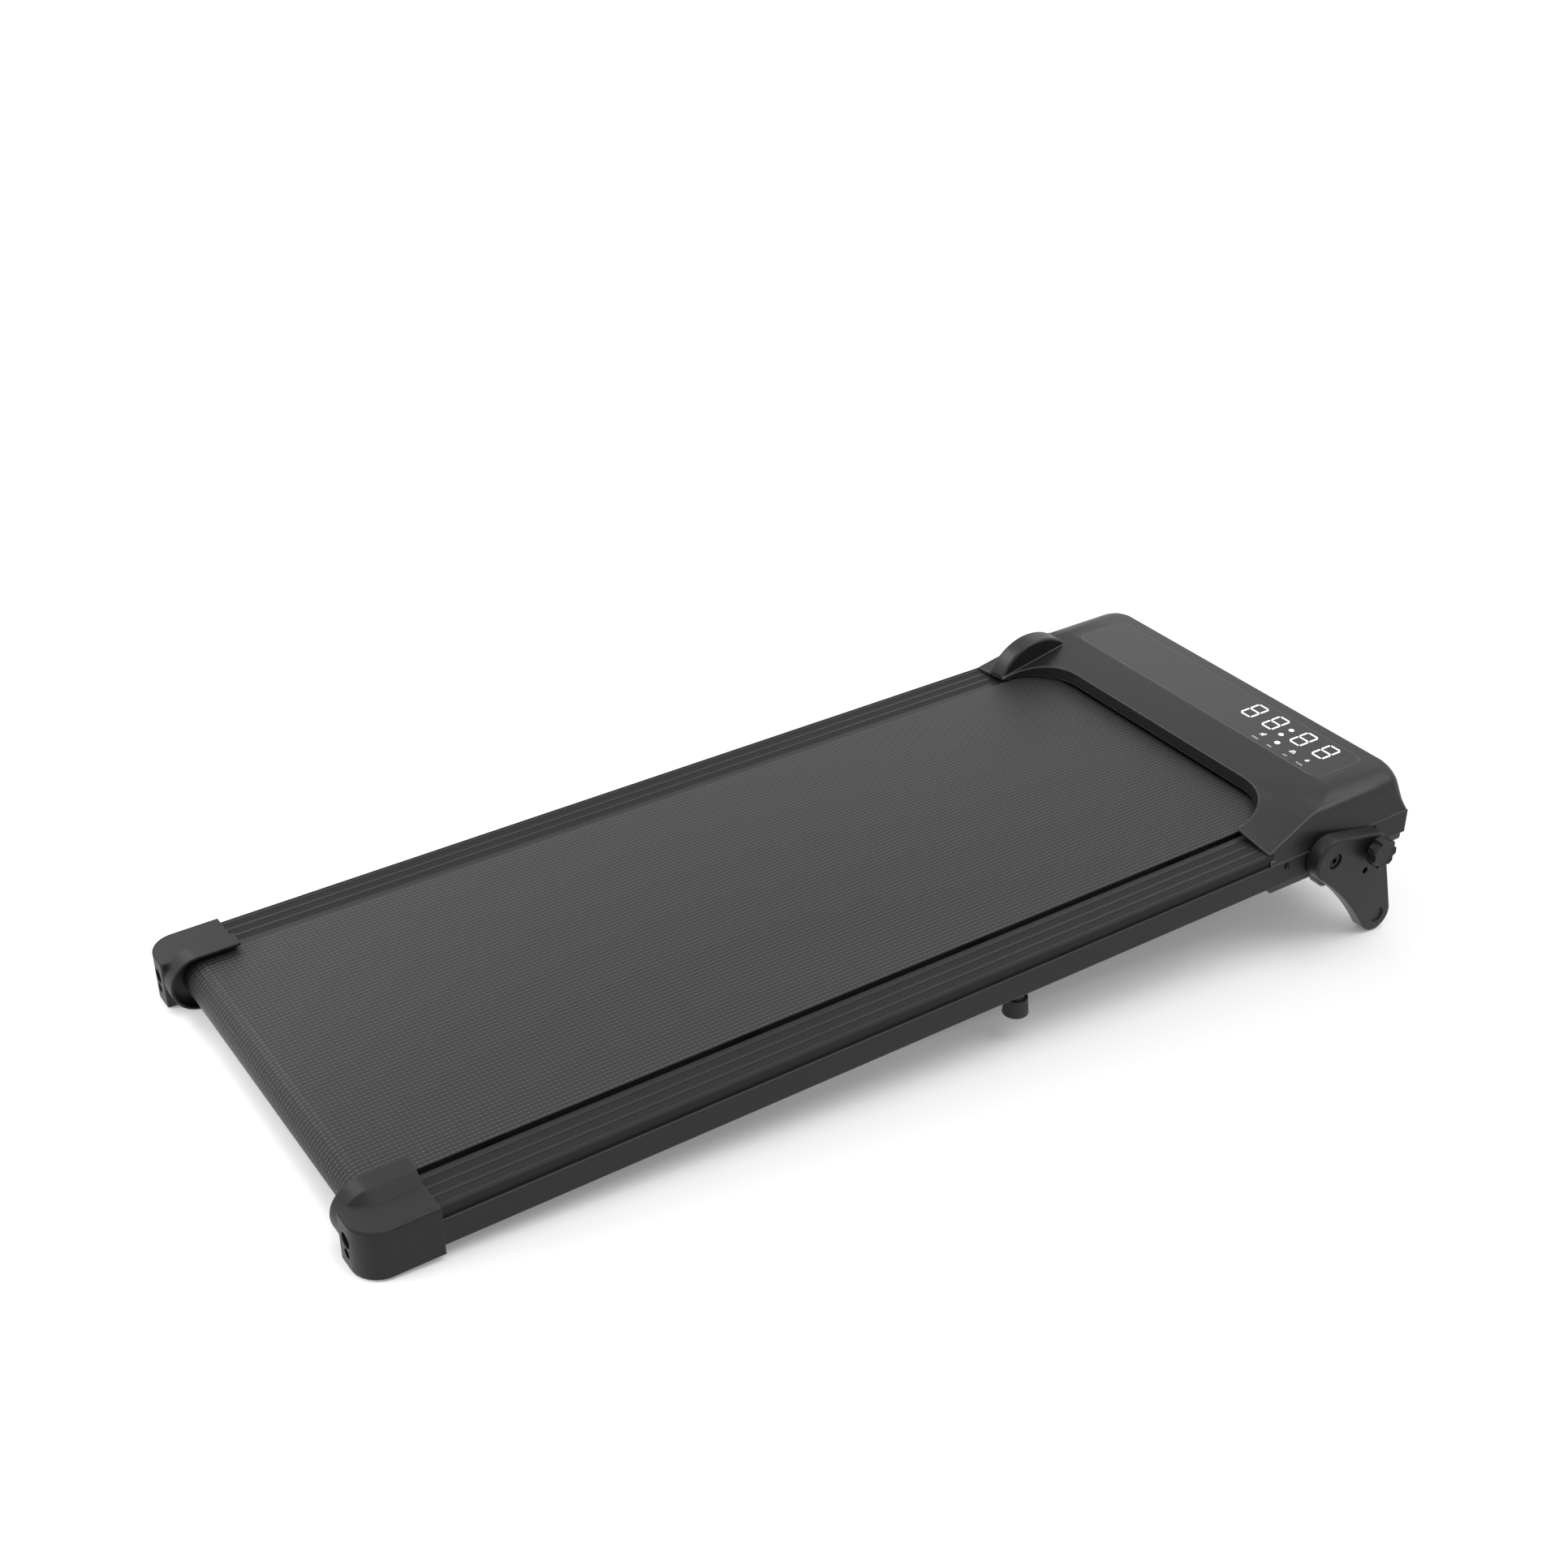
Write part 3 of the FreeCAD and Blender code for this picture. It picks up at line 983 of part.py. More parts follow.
def plate_y(x, width, height, y0, y1):
    """Block of the power entry, centred on its height."""
    return box(x - width / 2, x + width / 2, y0, y1, ENTRY_Z - height / 2, ENTRY_Z + height / 2)


def build_power_entry():
    """Appliance inlet, rocker switch and overload breaker in the front of the frame."""
    face = FRAME_FRONT
    flange = 2 * INLET_FLANGE
    inlet = joined([plate_y(ENTRY_X, INLET_WIDTH + flange, INLET_HEIGHT + flange, face, face + INLET_FLANGE),
                    plate_y(ENTRY_X, INLET_WIDTH, INLET_HEIGHT, face - INLET_DEPTH, face)])
    mouth = face + INLET_FLANGE
    blade_root = mouth - SOCKET_DEPTH
    inlet = inlet.cut(plate_y(ENTRY_X, SOCKET_WIDTH, SOCKET_HEIGHT, blade_root, mouth))
    blades = []
    for step, rise in ((-1, -1), (0, 1), (1, -1)):
        x = ENTRY_X + step * SOCKET_WIDTH / 3
        z = ENTRY_Z + rise * SOCKET_HEIGHT / 8
        thick, wide = BLADE_THICKNESS / 2, BLADE_WIDTH / 2
        blades.append(box(x - thick, x + thick, blade_root - OVERCUT, mouth - BLADE_SETBACK, z - wide,
                          z + wide))
    add("power_inlet", joined([inlet] + blades))

    x = ENTRY_X + SWITCH_SPACING
    outer = 2 * SWITCH_RIM
    bezel = joined([plate_y(x, SWITCH_WIDTH + outer, SWITCH_HEIGHT + outer, face, face + SWITCH_RIM),
                    plate_y(x, SWITCH_WIDTH, SWITCH_HEIGHT, face - SWITCH_DEPTH, face)])
    room = plate_y(x, SWITCH_WIDTH - outer, SWITCH_HEIGHT - outer, face - SWITCH_DEPTH + SWITCH_RIM,
                   face + SWITCH_RIM)
    bezel = bezel.cut(room)
    pin_ends = (ENTRY_Z - SWITCH_HEIGHT / 2 + SWITCH_RIM / 2, ENTRY_Z + SWITCH_HEIGHT / 2 - SWITCH_RIM / 2)
    pin_y = face - ROCKER_PROUD
    bezel = bezel.cut(rod_z(ROCKER_PIN + RUNNING, *pin_ends, x, pin_y))
    add("switch_bezel", bezel)

    half = SWITCH_WIDTH / 2 - SWITCH_RIM - ROCKER_GAP
    tall = SWITCH_HEIGHT / 2 - SWITCH_RIM - ROCKER_GAP
    tip = face + SWITCH_RIM + ROCKER_PROUD / 2
    valley = face + SWITCH_RIM
    root = pin_y - 2 * ROCKER_PIN
    low = ENTRY_Z - tall
    outline = [V(x - half, tip, low), V(x, valley, low), V(x + half, tip, low), V(x, root, low)]
    block = Part.Face(Part.makePolygon(outline + outline[:1])).extrude(V(0, 0, 2 * tall))
    boss = rod_z(2 * ROCKER_PIN, ENTRY_Z - tall, ENTRY_Z + tall, x, pin_y)
    gap = SLACK / 3
    rocker = joined([block, boss, rod_z(ROCKER_PIN, pin_ends[0] + gap, pin_ends[1] - gap, x, pin_y)])
    rocker.rotate(V(x, pin_y, ENTRY_Z), V(0, 0, 1), -ROCKER_ANGLE)
    add("switch_rocker", rocker)

    x = ENTRY_X + BREAKER_SPACING
    breaker = joined([rod_y(BREAKER_RADIUS, face - FRAME_WALL, face + INLET_FLANGE, x, ENTRY_Z),
                      hexagon_y(BREAKER_NUT, face, face + INLET_FLANGE, x, ENTRY_Z),
                      plate_y(x, 2 * BREAKER_NUT, 2 * BREAKER_NUT, face - BREAKER_DEPTH, face - FRAME_WALL),
                      rod_y(BREAKER_RADIUS / 2, face, face + 2 * INLET_FLANGE, x, ENTRY_Z)])
    add("overload_breaker", breaker)


def leg_outline(x):
    """Closed leg outline: round pivot end, straight top and front, round tip, concave rear edge."""
    top = outer_tangent(LEG_PIVOT, LEG_PIVOT_RADIUS, LEG_SHOULDER, LEG_SHOULDER_RADIUS)
    front = outer_tangent(LEG_SHOULDER, LEG_SHOULDER_RADIUS, LEG_TIP, LEG_TIP_RADIUS)
    centre, start, end = hollow_between(LEG_PIVOT, LEG_PIVOT_RADIUS, LEG_TIP, LEG_TIP_RADIUS,
                                        LEG_HOLLOW_RADIUS)
    rear_top = on_circle(LEG_PIVOT, LEG_PIVOT_RADIUS, start)
    rear_low = on_circle(LEG_TIP, LEG_TIP_RADIUS, end)
    middle = on_circle(centre, LEG_HOLLOW_RADIUS, (start + end - FULL_TURN) / 2)
    back = arc_middle(LEG_PIVOT, LEG_PIVOT_RADIUS, rear_top, top[0])
    shoulder = arc_middle(LEG_SHOULDER, LEG_SHOULDER_RADIUS, top[1], front[0])
    sole = arc_middle(LEG_TIP, LEG_TIP_RADIUS, front[1], rear_low)
    points = [V(x, *place) for place in (rear_top, back, *top, shoulder, *front, sole, rear_low, middle)]
    a, b, c, d, e, f, g, h, i, j = points
    edges = [Part.Arc(a, b, c), Part.LineSegment(c, d), Part.Arc(d, e, f), Part.LineSegment(f, g),
             Part.Arc(g, h, i), Part.Arc(i, j, a)]
    return Part.Wire([edge.toShape() for edge in edges])


def incline_leg():
    """Moulded leg with a rounded outer rim, pivot recess, two index holes and a tip recess, right side."""
    leg = Part.Face(leg_outline(LEG_FACE)).extrude(V(LEG_THICKNESS, 0, 0))
    rim = [edge for edge in leg.Edges if edge.BoundBox.XMin > LEG_OUTER - TOUCH]
    leg = leg.makeFillet(LEG_EDGE, rim)
    leg = leg.cut(rod_x(PIVOT_BOLT_RADIUS + RUNNING, LEG_FACE - OVERCUT, LEG_OUTER + OVERCUT, *LEG_PIVOT))
    leg = leg.cut(rod_x(PIVOT_RECESS_RADIUS, LEG_OUTER - PIVOT_RECESS, LEG_OUTER + OVERCUT, *LEG_PIVOT))
    for turn in (0, -LEG_FOLD):
        hole = on_circle(LEG_PIVOT, KNOB_ARM, KNOB_ARM_ANGLE + turn)
        leg = leg.cut(rod_x(KNOB_STUD_RADIUS + RUNNING, LEG_FACE - OVERCUT, LEG_OUTER + OVERCUT, *hole))
    return leg.cut(rod_x(TIP_RECESS_RADIUS, LEG_OUTER - TIP_RECESS_DEPTH, LEG_OUTER + OVERCUT, *LEG_TIP))


def knob():
    """Seven-lobed clamping knob on a stud through the leg, right side."""
    place = on_circle(LEG_PIVOT, KNOB_ARM, KNOB_ARM_ANGLE)
    base = LEG_OUTER + SLACK
    head = base + KNOB_COLLAR_HEIGHT
    top = base + KNOB_HEIGHT
    rim = KNOB_RADIUS - KNOB_EDGE
    dish = KNOB_RADIUS - 2 * KNOB_EDGE
    stud_end = FRAME_FACE + SLACK
    outline = [(stud_end, 0), (stud_end, KNOB_STUD_RADIUS), (base, KNOB_STUD_RADIUS), (base, KNOB_COLLAR),
               (head, KNOB_COLLAR), (head, rim), (head + KNOB_EDGE, KNOB_RADIUS),
               (top - KNOB_EDGE, KNOB_RADIUS), (top, rim), (top, dish), (top - KNOB_DISH, dish - KNOB_DISH),
               (top - KNOB_DISH, 0)]
    star = turned_x(outline, *place)
    for lobe in range(KNOB_LOBES):
        scallop = on_circle(place, KNOB_SCALLOP_CIRCLE, FULL_TURN * (lobe + 0.5) / KNOB_LOBES)
        star = star.cut(rod_x(KNOB_SCALLOP, base, top + OVERCUT, *scallop))
    return star


def build_legs():
    """Incline legs, their pivot bolts and washers, and the clamping knobs."""
    add_pair("incline_leg", incline_leg())
    add_pair("knob", knob())
    seat = LEG_OUTER - PIVOT_RECESS + SLACK
    bolt = joined([rod_x(PIVOT_HEAD_RADIUS, seat, seat + PIVOT_HEAD, *LEG_PIVOT),
                   rod_x(PIVOT_BOLT_RADIUS, FRAME_WEB - PIVOT_NUT, seat, *LEG_PIVOT),
                   rod_x(PIVOT_NUT_RADIUS, FRAME_WEB - PIVOT_NUT, FRAME_WEB, *LEG_PIVOT)])
    bolt = bolt.cut(rod_x(PIVOT_SOCKET, seat + PIVOT_HEAD - PIVOT_SOCKET_DEPTH, seat + PIVOT_HEAD,
                          *LEG_PIVOT))
    add("pivot_bolts", bolt, mirrored(bolt))
    washer = rod_x(WASHER_RADIUS, FRAME_FACE, LEG_FACE - SLACK, *LEG_PIVOT)
    washer = washer.cut(rod_x(PIVOT_BOLT_RADIUS, FRAME_FACE, LEG_FACE, *LEG_PIVOT))
    add("pivot_washers", washer, mirrored(washer))


def build_wheels():
    """Transport wheels in their brackets, under the pan."""
    half = WHEEL_WIDTH / 2
    bore = WHEEL_AXLE_RADIUS + RUNNING
    outline = [(WHEEL_X - half, bore), (WHEEL_X + half, bore), (WHEEL_X + half, WHEEL_RADIUS - WHEEL_EDGE),
               (WHEEL_X + half - WHEEL_EDGE, WHEEL_RADIUS), (WHEEL_X - half + WHEEL_EDGE, WHEEL_RADIUS),
               (WHEEL_X - half, WHEEL_RADIUS - WHEEL_EDGE)]
    add_pair("transport_wheel", turned_x(outline, WHEEL_Y, WHEEL_Z))
    inner = WHEEL_X - half - SLACK
    outer = WHEEL_X + half + SLACK
    reach = BRACKET_LENGTH / 2
    base = box(inner - BRACKET_WALL, outer + BRACKET_WALL, WHEEL_Y - reach, WHEEL_Y + reach,
               PAN_BOTTOM - BRACKET_WALL, PAN_BOTTOM)
    ears = [base]
    root = PAN_BOTTOM - BRACKET_WALL
    ear = [(WHEEL_Y - reach, root), (WHEEL_Y + reach, root), (WHEEL_Y + BRACKET_EAR, WHEEL_Z),
           (WHEEL_Y - BRACKET_EAR, WHEEL_Z)]
    for x in (inner - BRACKET_WALL, outer):
        ears.append(slab_x(ear, x, x + BRACKET_WALL))
        ears.append(rod_x(BRACKET_EAR, x, x + BRACKET_WALL, WHEEL_Y, WHEEL_Z))
    bracket = joined(ears).cut(rod_x(WHEEL_AXLE_RADIUS, inner - BRACKET_WALL - OVERCUT,
                                     outer + BRACKET_WALL + OVERCUT, WHEEL_Y, WHEEL_Z))
    add_pair("wheel_bracket", bracket)
    ends = (inner - BRACKET_WALL, outer + BRACKET_WALL)
    axle = joined([rod_x(WHEEL_AXLE_RADIUS, *ends, WHEEL_Y, WHEEL_Z),
                   rod_x(WHEEL_AXLE_HEAD, ends[1], ends[1] + WHEEL_AXLE_HEAD_HEIGHT, WHEEL_Y, WHEEL_Z),
                   rod_x(WHEEL_AXLE_HEAD, ends[0] - WHEEL_AXLE_HEAD_HEIGHT, ends[0], WHEEL_Y, WHEEL_Z)])
    add("wheel_axles", axle, mirrored(axle))


def floor_line():
    """Point and slope of the floor under the tilted pad: past the rear caps, tangent to the leg tips."""
    start = (CAP_REAR, CAP_BOTTOM - FLOOR_GAP)
    across = LEG_TIP[0] - start[0]
    down = start[1] - LEG_TIP[1]
    reach = math.hypot(across, down)
    tilt = math.atan2(down, across) + math.asin(LEG_TIP_RADIUS / reach)
    return start, tilt


def build_feet():
    """Cone feet under the side frames and wedge pads under the end caps."""
    collar = rod_z(FOOT_COLLAR_RADIUS, FRAME_BOTTOM - FOOT_COLLAR_HEIGHT, FRAME_BOTTOM, FOOT_X, FOOT_Y)
    add("mid_foot_collars", collar, mirrored(collar))
    top = FRAME_BOTTOM - FOOT_COLLAR_HEIGHT
    foot = V(FOOT_X, FOOT_Y, top - FOOT_HEIGHT)
    cone = Part.makeCone(FOOT_SOLE_RADIUS, FOOT_TOP_RADIUS, FOOT_HEIGHT, foot)
    add("mid_feet", cone, mirrored(cone))

    start, tilt = floor_line()
    y0 = CAP_REAR + REAR_FOOT_INSET
    y1 = y0 + REAR_FOOT_LENGTH
    sole = [(y, start[1] - (y - start[0]) * math.tan(tilt)) for y in (y0, y1)]
    x1 = CAP_FACE - REAR_FOOT_INSET
    wedge = slab_x([(y0, CAP_BOTTOM), (y1, CAP_BOTTOM), sole[1], sole[0]], x1 - REAR_FOOT_WIDTH, x1)
    corner = CAP_CORNER - REAR_FOOT_INSET
    outside = [edge for edge in wedge.Edges
               if edge.BoundBox.ZLength > FLOOR_GAP and edge.BoundBox.XMin > x1 - TOUCH
               and edge.BoundBox.YMax < y0 + TOUCH]
    wedge = wedge.makeFillet(corner, outside)
    add("rear_feet", wedge, mirrored(wedge))


def stand_on_floor():
    """Tip every piece nose-up on the legs and put the floor and the middle of the box at zero."""
    start, tilt = floor_line()
    for shape in pieces.values():
        shape.rotate(V(0, 0, 0), V(1, 0, 0), math.degrees(tilt))
    rear = min(pieces[name].optimalBoundingBox().YMin for name in ("end_cap_left", "end_cap_right"))
    front = max(shape.optimalBoundingBox().YMax for name, shape in pieces.items() if name != "hood")
    floor_z = start[0] * math.sin(tilt) + start[1] * math.cos(tilt)
    move = V(0, -(rear + front) / 2, -floor_z)
    for shape in pieces.values():
        shape.translate(move)
    return tilt, move


def to_floor(place, tilt, move):
    """Place (x, y, z) of the level pad in the standing pad, in metres."""
    x, y, z = place
    turn_y = y * math.cos(tilt) - z * math.sin(tilt)
    turn_z = y * math.sin(tilt) + z * math.cos(tilt)
    return [round(value / 1000, 6) for value in (x, turn_y + move.y, turn_z + move.z)]


build_walking_surface()
build_rollers()
build_frame()
build_rear()
build_hood()
build_drive()
build_electronics()
build_pan()
build_power_entry()
build_legs()
build_wheels()
build_feet()
tilt, move = stand_on_floor()

os.makedirs("parts", exist_ok=True)
for name, shape in pieces.items():
    shape.exportStep("parts/" + name + ".step")

knob_place = on_circle(LEG_PIVOT, KNOB_ARM, KNOB_ARM_ANGLE)
low_hole = on_circle(LEG_PIVOT, KNOB_ARM, KNOB_ARM_ANGLE - LEG_FOLD)
sole_start, sole_turn = floor_line()
sole_run = REAR_FOOT_INSET + REAR_FOOT_LENGTH / 2
sole_middle = (sole_start[0] + sole_run, sole_start[1] - sole_run * math.tan(sole_turn))
places = {
    "leg_pivot": (LEG_OUTER, *LEG_PIVOT),
    "knob": (LEG_OUTER, *knob_place),
    "low_hole": (LEG_FACE + LEG_THICKNESS / 2, *low_hole),
    "front_roller": (0, FRONT_ROLLER_Y, ROLLER_Z),
    "rear_roller": (0, REAR_ROLLER_Y, ROLLER_Z),
    "motor": (0, MOTOR_Y, MOTOR_Z),
    "wheel": (WHEEL_X, WHEEL_Y, WHEEL_Z),
    "tension_bolt": (TENSION_BOLT_X, FRAME_REAR, ROLLER_Z),
    "rocker": (ENTRY_X + SWITCH_SPACING, FRAME_FRONT - ROCKER_PROUD, ENTRY_Z),
    "inlet": (ENTRY_X, FRAME_FRONT + INLET_FLANGE, ENTRY_Z),
    "sole": (CAP_FACE - REAR_FOOT_INSET - REAR_FOOT_WIDTH / 2, *sole_middle),
    "rail_zero": (0, 0, 0),
}
print("tilt", round(math.degrees(tilt), 5))
for name, place in places.items():
    print(name, to_floor(place, tilt, move))
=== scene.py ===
import json
import math

import bpy
import numpy as np
from bpy.props import FloatProperty, FloatVectorProperty, PointerProperty
from mathutils import Matrix


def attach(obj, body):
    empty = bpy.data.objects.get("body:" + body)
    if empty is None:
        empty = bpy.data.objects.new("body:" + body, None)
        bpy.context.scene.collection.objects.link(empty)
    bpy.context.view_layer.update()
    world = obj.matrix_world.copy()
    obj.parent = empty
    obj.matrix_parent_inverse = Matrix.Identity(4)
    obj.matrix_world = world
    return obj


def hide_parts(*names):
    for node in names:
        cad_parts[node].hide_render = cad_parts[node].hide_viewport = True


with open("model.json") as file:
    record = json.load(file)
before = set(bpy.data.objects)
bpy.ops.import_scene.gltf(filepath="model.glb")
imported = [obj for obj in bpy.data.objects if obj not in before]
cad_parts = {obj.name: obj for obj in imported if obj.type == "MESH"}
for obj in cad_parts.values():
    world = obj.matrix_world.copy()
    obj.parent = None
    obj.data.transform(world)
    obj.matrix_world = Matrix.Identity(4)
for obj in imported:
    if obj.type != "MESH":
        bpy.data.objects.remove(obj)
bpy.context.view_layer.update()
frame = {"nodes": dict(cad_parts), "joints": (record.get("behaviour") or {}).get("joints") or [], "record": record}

bl_info = {
    "name": "Walking pad",
    "version": (1, 0, 0),
    "blender": (4, 5, 0),
    "location": "View3D > Sidebar > Walking pad",
    "description": "Dresses a packed walking pad with its belt, display and finishes, on a plain pale floor",
    "category": "Object",
}

MM = 0.001
JOINTS = {joint["name"]: joint for joint in frame["joints"]}

# The pad's own axes: right, along the belt towards the hood, and up from the belt. Zero is on the front
# roller's axis.
FRONT_AXIS = np.array(JOINTS["front_roller_spin"]["pos_m"])
REAR_AXIS = np.array(JOINTS["rear_roller_spin"]["pos_m"])
ALONG = np.array(JOINTS["tension_right_turn"]["axis"])
PAD_AXES = np.array([[1.0, 0.0, 0.0], ALONG, [0.0, -ALONG[2], ALONG[1]]])
ROLLER_SPACING = float(np.linalg.norm(FRONT_AXIS - REAR_AXIS))


def linear(code):
    """Turns an sRGB hex colour into linear red, green and blue by the standard's formula: a straight line
    near black and a power above it."""
    parts = [int(code[i:i + 2], 16) / 255 for i in (1, 3, 5)]
    return tuple(p / 12.92 if p <= 0.04045 else ((p + 0.055) / 1.055) ** 2.4 for p in parts)


def length(name, description, value):
    """A length that a user can change, in metres."""
    return FloatProperty(name=name, description=description, default=value, min=0.0, unit="LENGTH",
                         subtype="DISTANCE")


def colour(name, description, code):
    """A colour that a user can change."""
    return FloatVectorProperty(name=name, description=description, default=linear(code), size=3, min=0.0,
                               max=1.0, subtype="COLOR")


class BeltSettings(bpy.types.PropertyGroup):
    """Sizes and colours of the walking belt's tread."""
    thickness: length("Thickness", "Thickness of the belt", 1.6 * MM)
    cell_length: length("Cell length", "Spacing of the tread's cells along the belt", 5.03 * MM)
    cell_width: length("Cell width", "Spacing of the tread's cells across the belt", 4.79 * MM)
    relief: length("Relief", "Height of the tread's cells", 0.35 * MM)
    ground: colour("Ground", "Colour of a cell", "#1D1D1E")
    # The dash has no relief of its own: its lighter colour is a painted highlight for a raised dash.
    dash: colour("Dash", "Colour of the raised dash on one side of a cell", "#464648")
    groove: colour("Groove", "Colour of the grooves between the cells", "#1E1E1F")


class DisplaySettings(bpy.types.PropertyGroup):
    """Sizes and colours of the lit marks in the display window, and of the painted highlight line round it."""
    digit_width: length("Digit width", "Width of one digit", 16.8 * MM)
    digit_height: length("Digit height", "Height of one digit", 30.5 * MM)
    stroke: length("Stroke", "Width of a digit's bars", 2.1 * MM)
    mark_height: length("Mark height", "How far the lit marks stand out of the window", 0.12 * MM)
    window_corner: length("Window corner", "Corner radius of the window", 12.0 * MM)
    window_highlight_line: length("Window line", "Width of the line round the window", 0.7 * MM)
    lit: colour("Lit", "Colour of the lit digits", "#FFFFFF")
    legend: colour("Legend", "Colour of the dimmer legends", "#C8C8CA")


class FinishSettings(bpy.types.PropertyGroup):
    """Colours of the finishes and the softness of the edges."""
    edge: length("Edge radius", "Radius at which edges of moulded and painted parts catch the light",
                 1.2 * MM)
    plastic: colour("Hood plastic", "Charcoal moulding of the hood", "#1B1B1B")
    cap: colour("Cap plastic", "Coarser charcoal moulding of the end caps", "#1A1A1A")
    leg: colour("Leg plastic", "Moulding of the incline legs and the knobs", "#1A1A1A")
    steel: colour("Frame coat", "Powder coat of the steel frame", "#202020")
    # The bands' colour is darker than the strips' as painted shade for the light the ribs swallow.
    rail: colour("Rail", "Ribbed bands of the dark anodised side rails", "#131314")
    strip: colour("Rail strip", "Plain strips between the ribbed bands", "#1F1F20")
    window: colour("Window", "Smoked display window", "#1F1F1F")


class StageSettings(bpy.types.PropertyGroup):
    """The camera, the lamps and the floor's colour."""
    lens: FloatProperty(name="Lens", description="Focal length on a 36 mm sensor", default=50.0, min=1.0,
                        unit="CAMERA")
    turn: FloatProperty(name="Turn", description="Angle between the view and the belt, seen from above",
                        default=math.radians(56.281), subtype="ANGLE")
    dip: FloatProperty(name="Dip", description="Angle by which the camera looks down",
                       default=math.radians(31.595), subtype="ANGLE")
    key: FloatProperty(name="Overhead lamp", description="Strength of the broad lamp overhead", default=1.4,
                       min=0.0)
    rear: FloatProperty(name="Rear lamp", description="Power of the soft lamp behind the far side",
                        default=20.0, min=0.0, unit="POWER")
    low: FloatProperty(name="Low lamp", description="Power of the soft lamp low behind the rear end",
                       default=48.0, min=0.0, unit="POWER")
    front: FloatProperty(name="Front lamp", description="Power of the soft lamp beyond the hood",
                         default=1.2, min=0.0, unit="POWER")
    fill: FloatProperty(name="Fill", description="Strength of the even light from all round", default=0.6,
                        min=0.0)
    floor: colour("Floor", "Colour of the floor", "#F4F4F4")


def on_pad(points):
    """Places points given along the pad's own axes: each is the front axis plus three steps along them."""
    return FRONT_AXIS + np.asarray(points, float) @ PAD_AXES


def places_of(mesh):
    """Places of a mesh's vertices, as rows of three."""
    places = np.empty(len(mesh.vertices) * 3)
    mesh.vertices.foreach_get("co", places)
    return places.reshape(-1, 3)


def corners_of(mesh):
    """The vertex number at each face corner of a mesh, face after face."""
    corners = np.empty(len(mesh.loops), int)
    mesh.loops.foreach_get("vertex_index", corners)
    return corners


def pad_box(name):
    """Lowest and highest corner of a CAD node along the pad's own axes."""
    steps = (places_of(frame["nodes"][name].data) - FRONT_AXIS) @ PAD_AXES.T
    return steps.min(0), steps.max(0)


def wrapped_faces(rows, columns):
    """Corner numbers of the four-sided faces of a grid of points that closes on itself both ways."""
    row, column = np.meshgrid(np.arange(rows), np.arange(columns), indexing="ij")
    next_row, next_column = (row + 1) % rows, (column + 1) % columns
    corners = [row * columns + column, next_row * columns + column,
               next_row * columns + next_column, row * columns + next_column]
    return np.stack(corners, axis=-1).reshape(-1, 4)


def linked(made):
    """Puts a new object into the scene."""
    bpy.context.scene.collection.objects.link(made)
    return made


def piece(name, points, faces, body, slot, material, smooth=False):
    """Makes one finished mesh at the origin from placed points and rows of corner numbers."""
    mesh = bpy.data.meshes.new(name)
    mesh.from_pydata(np.asarray(points).tolist(), [], [list(map(int, face)) for face in faces])
    mesh.polygons.foreach_set("use_smooth", [smooth] * len(mesh.polygons))
    mesh.materials.append(material)
    made = linked(bpy.data.objects.new(name, mesh))
    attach(made, body)
    return made


def add(tree, kind, inputs=None, **settings):
    """Adds one node, sets its settings, and fills each named input with a value or links it to a socket."""
    made = tree.nodes.new("ShaderNode" + kind)
    for name, value in settings.items():
        setattr(made, name, value)
    for name, value in (inputs or {}).items():
        if isinstance(value, bpy.types.NodeSocket):
            tree.links.new(value, made.inputs[name])
        else:
            made.inputs[name].default_value = value
    return made


def coated(name, base, roughness, metallic=0.0, specular=0.5):
    """A material with one shader whose even values stand on its own sockets."""
    material = bpy.data.materials.new(name)
    material.use_nodes = True
    shader = material.node_tree.nodes["Principled BSDF"]
    shader.inputs["Base Color"].default_value = (*base, 1.0)
    shader.inputs["Roughness"].default_value = roughness
    shader.inputs["Metallic"].default_value = metallic
    if not metallic:
        shader.inputs["Specular IOR Level"].default_value = specular
    return material, shader


def shade(base, factor):
    """The same colour, lighter or darker."""
    return (*[min(1.0, channel * factor) for channel in base], 1.0)


# How finely the grain's noise is built up, and how many rays feel for an edge.
NOISE_DETAIL = 2.0
NOISE_ROUGHNESS = 0.55
EDGE_SAMPLES = 6
# Cosine of the angle between the rounded and the plain surface where the painted edge highlight begins, and
# where it is painted in full.
EDGE_HIGHLIGHT_BEGINS = 0.985
EDGE_HIGHLIGHT_FULL = 0.92


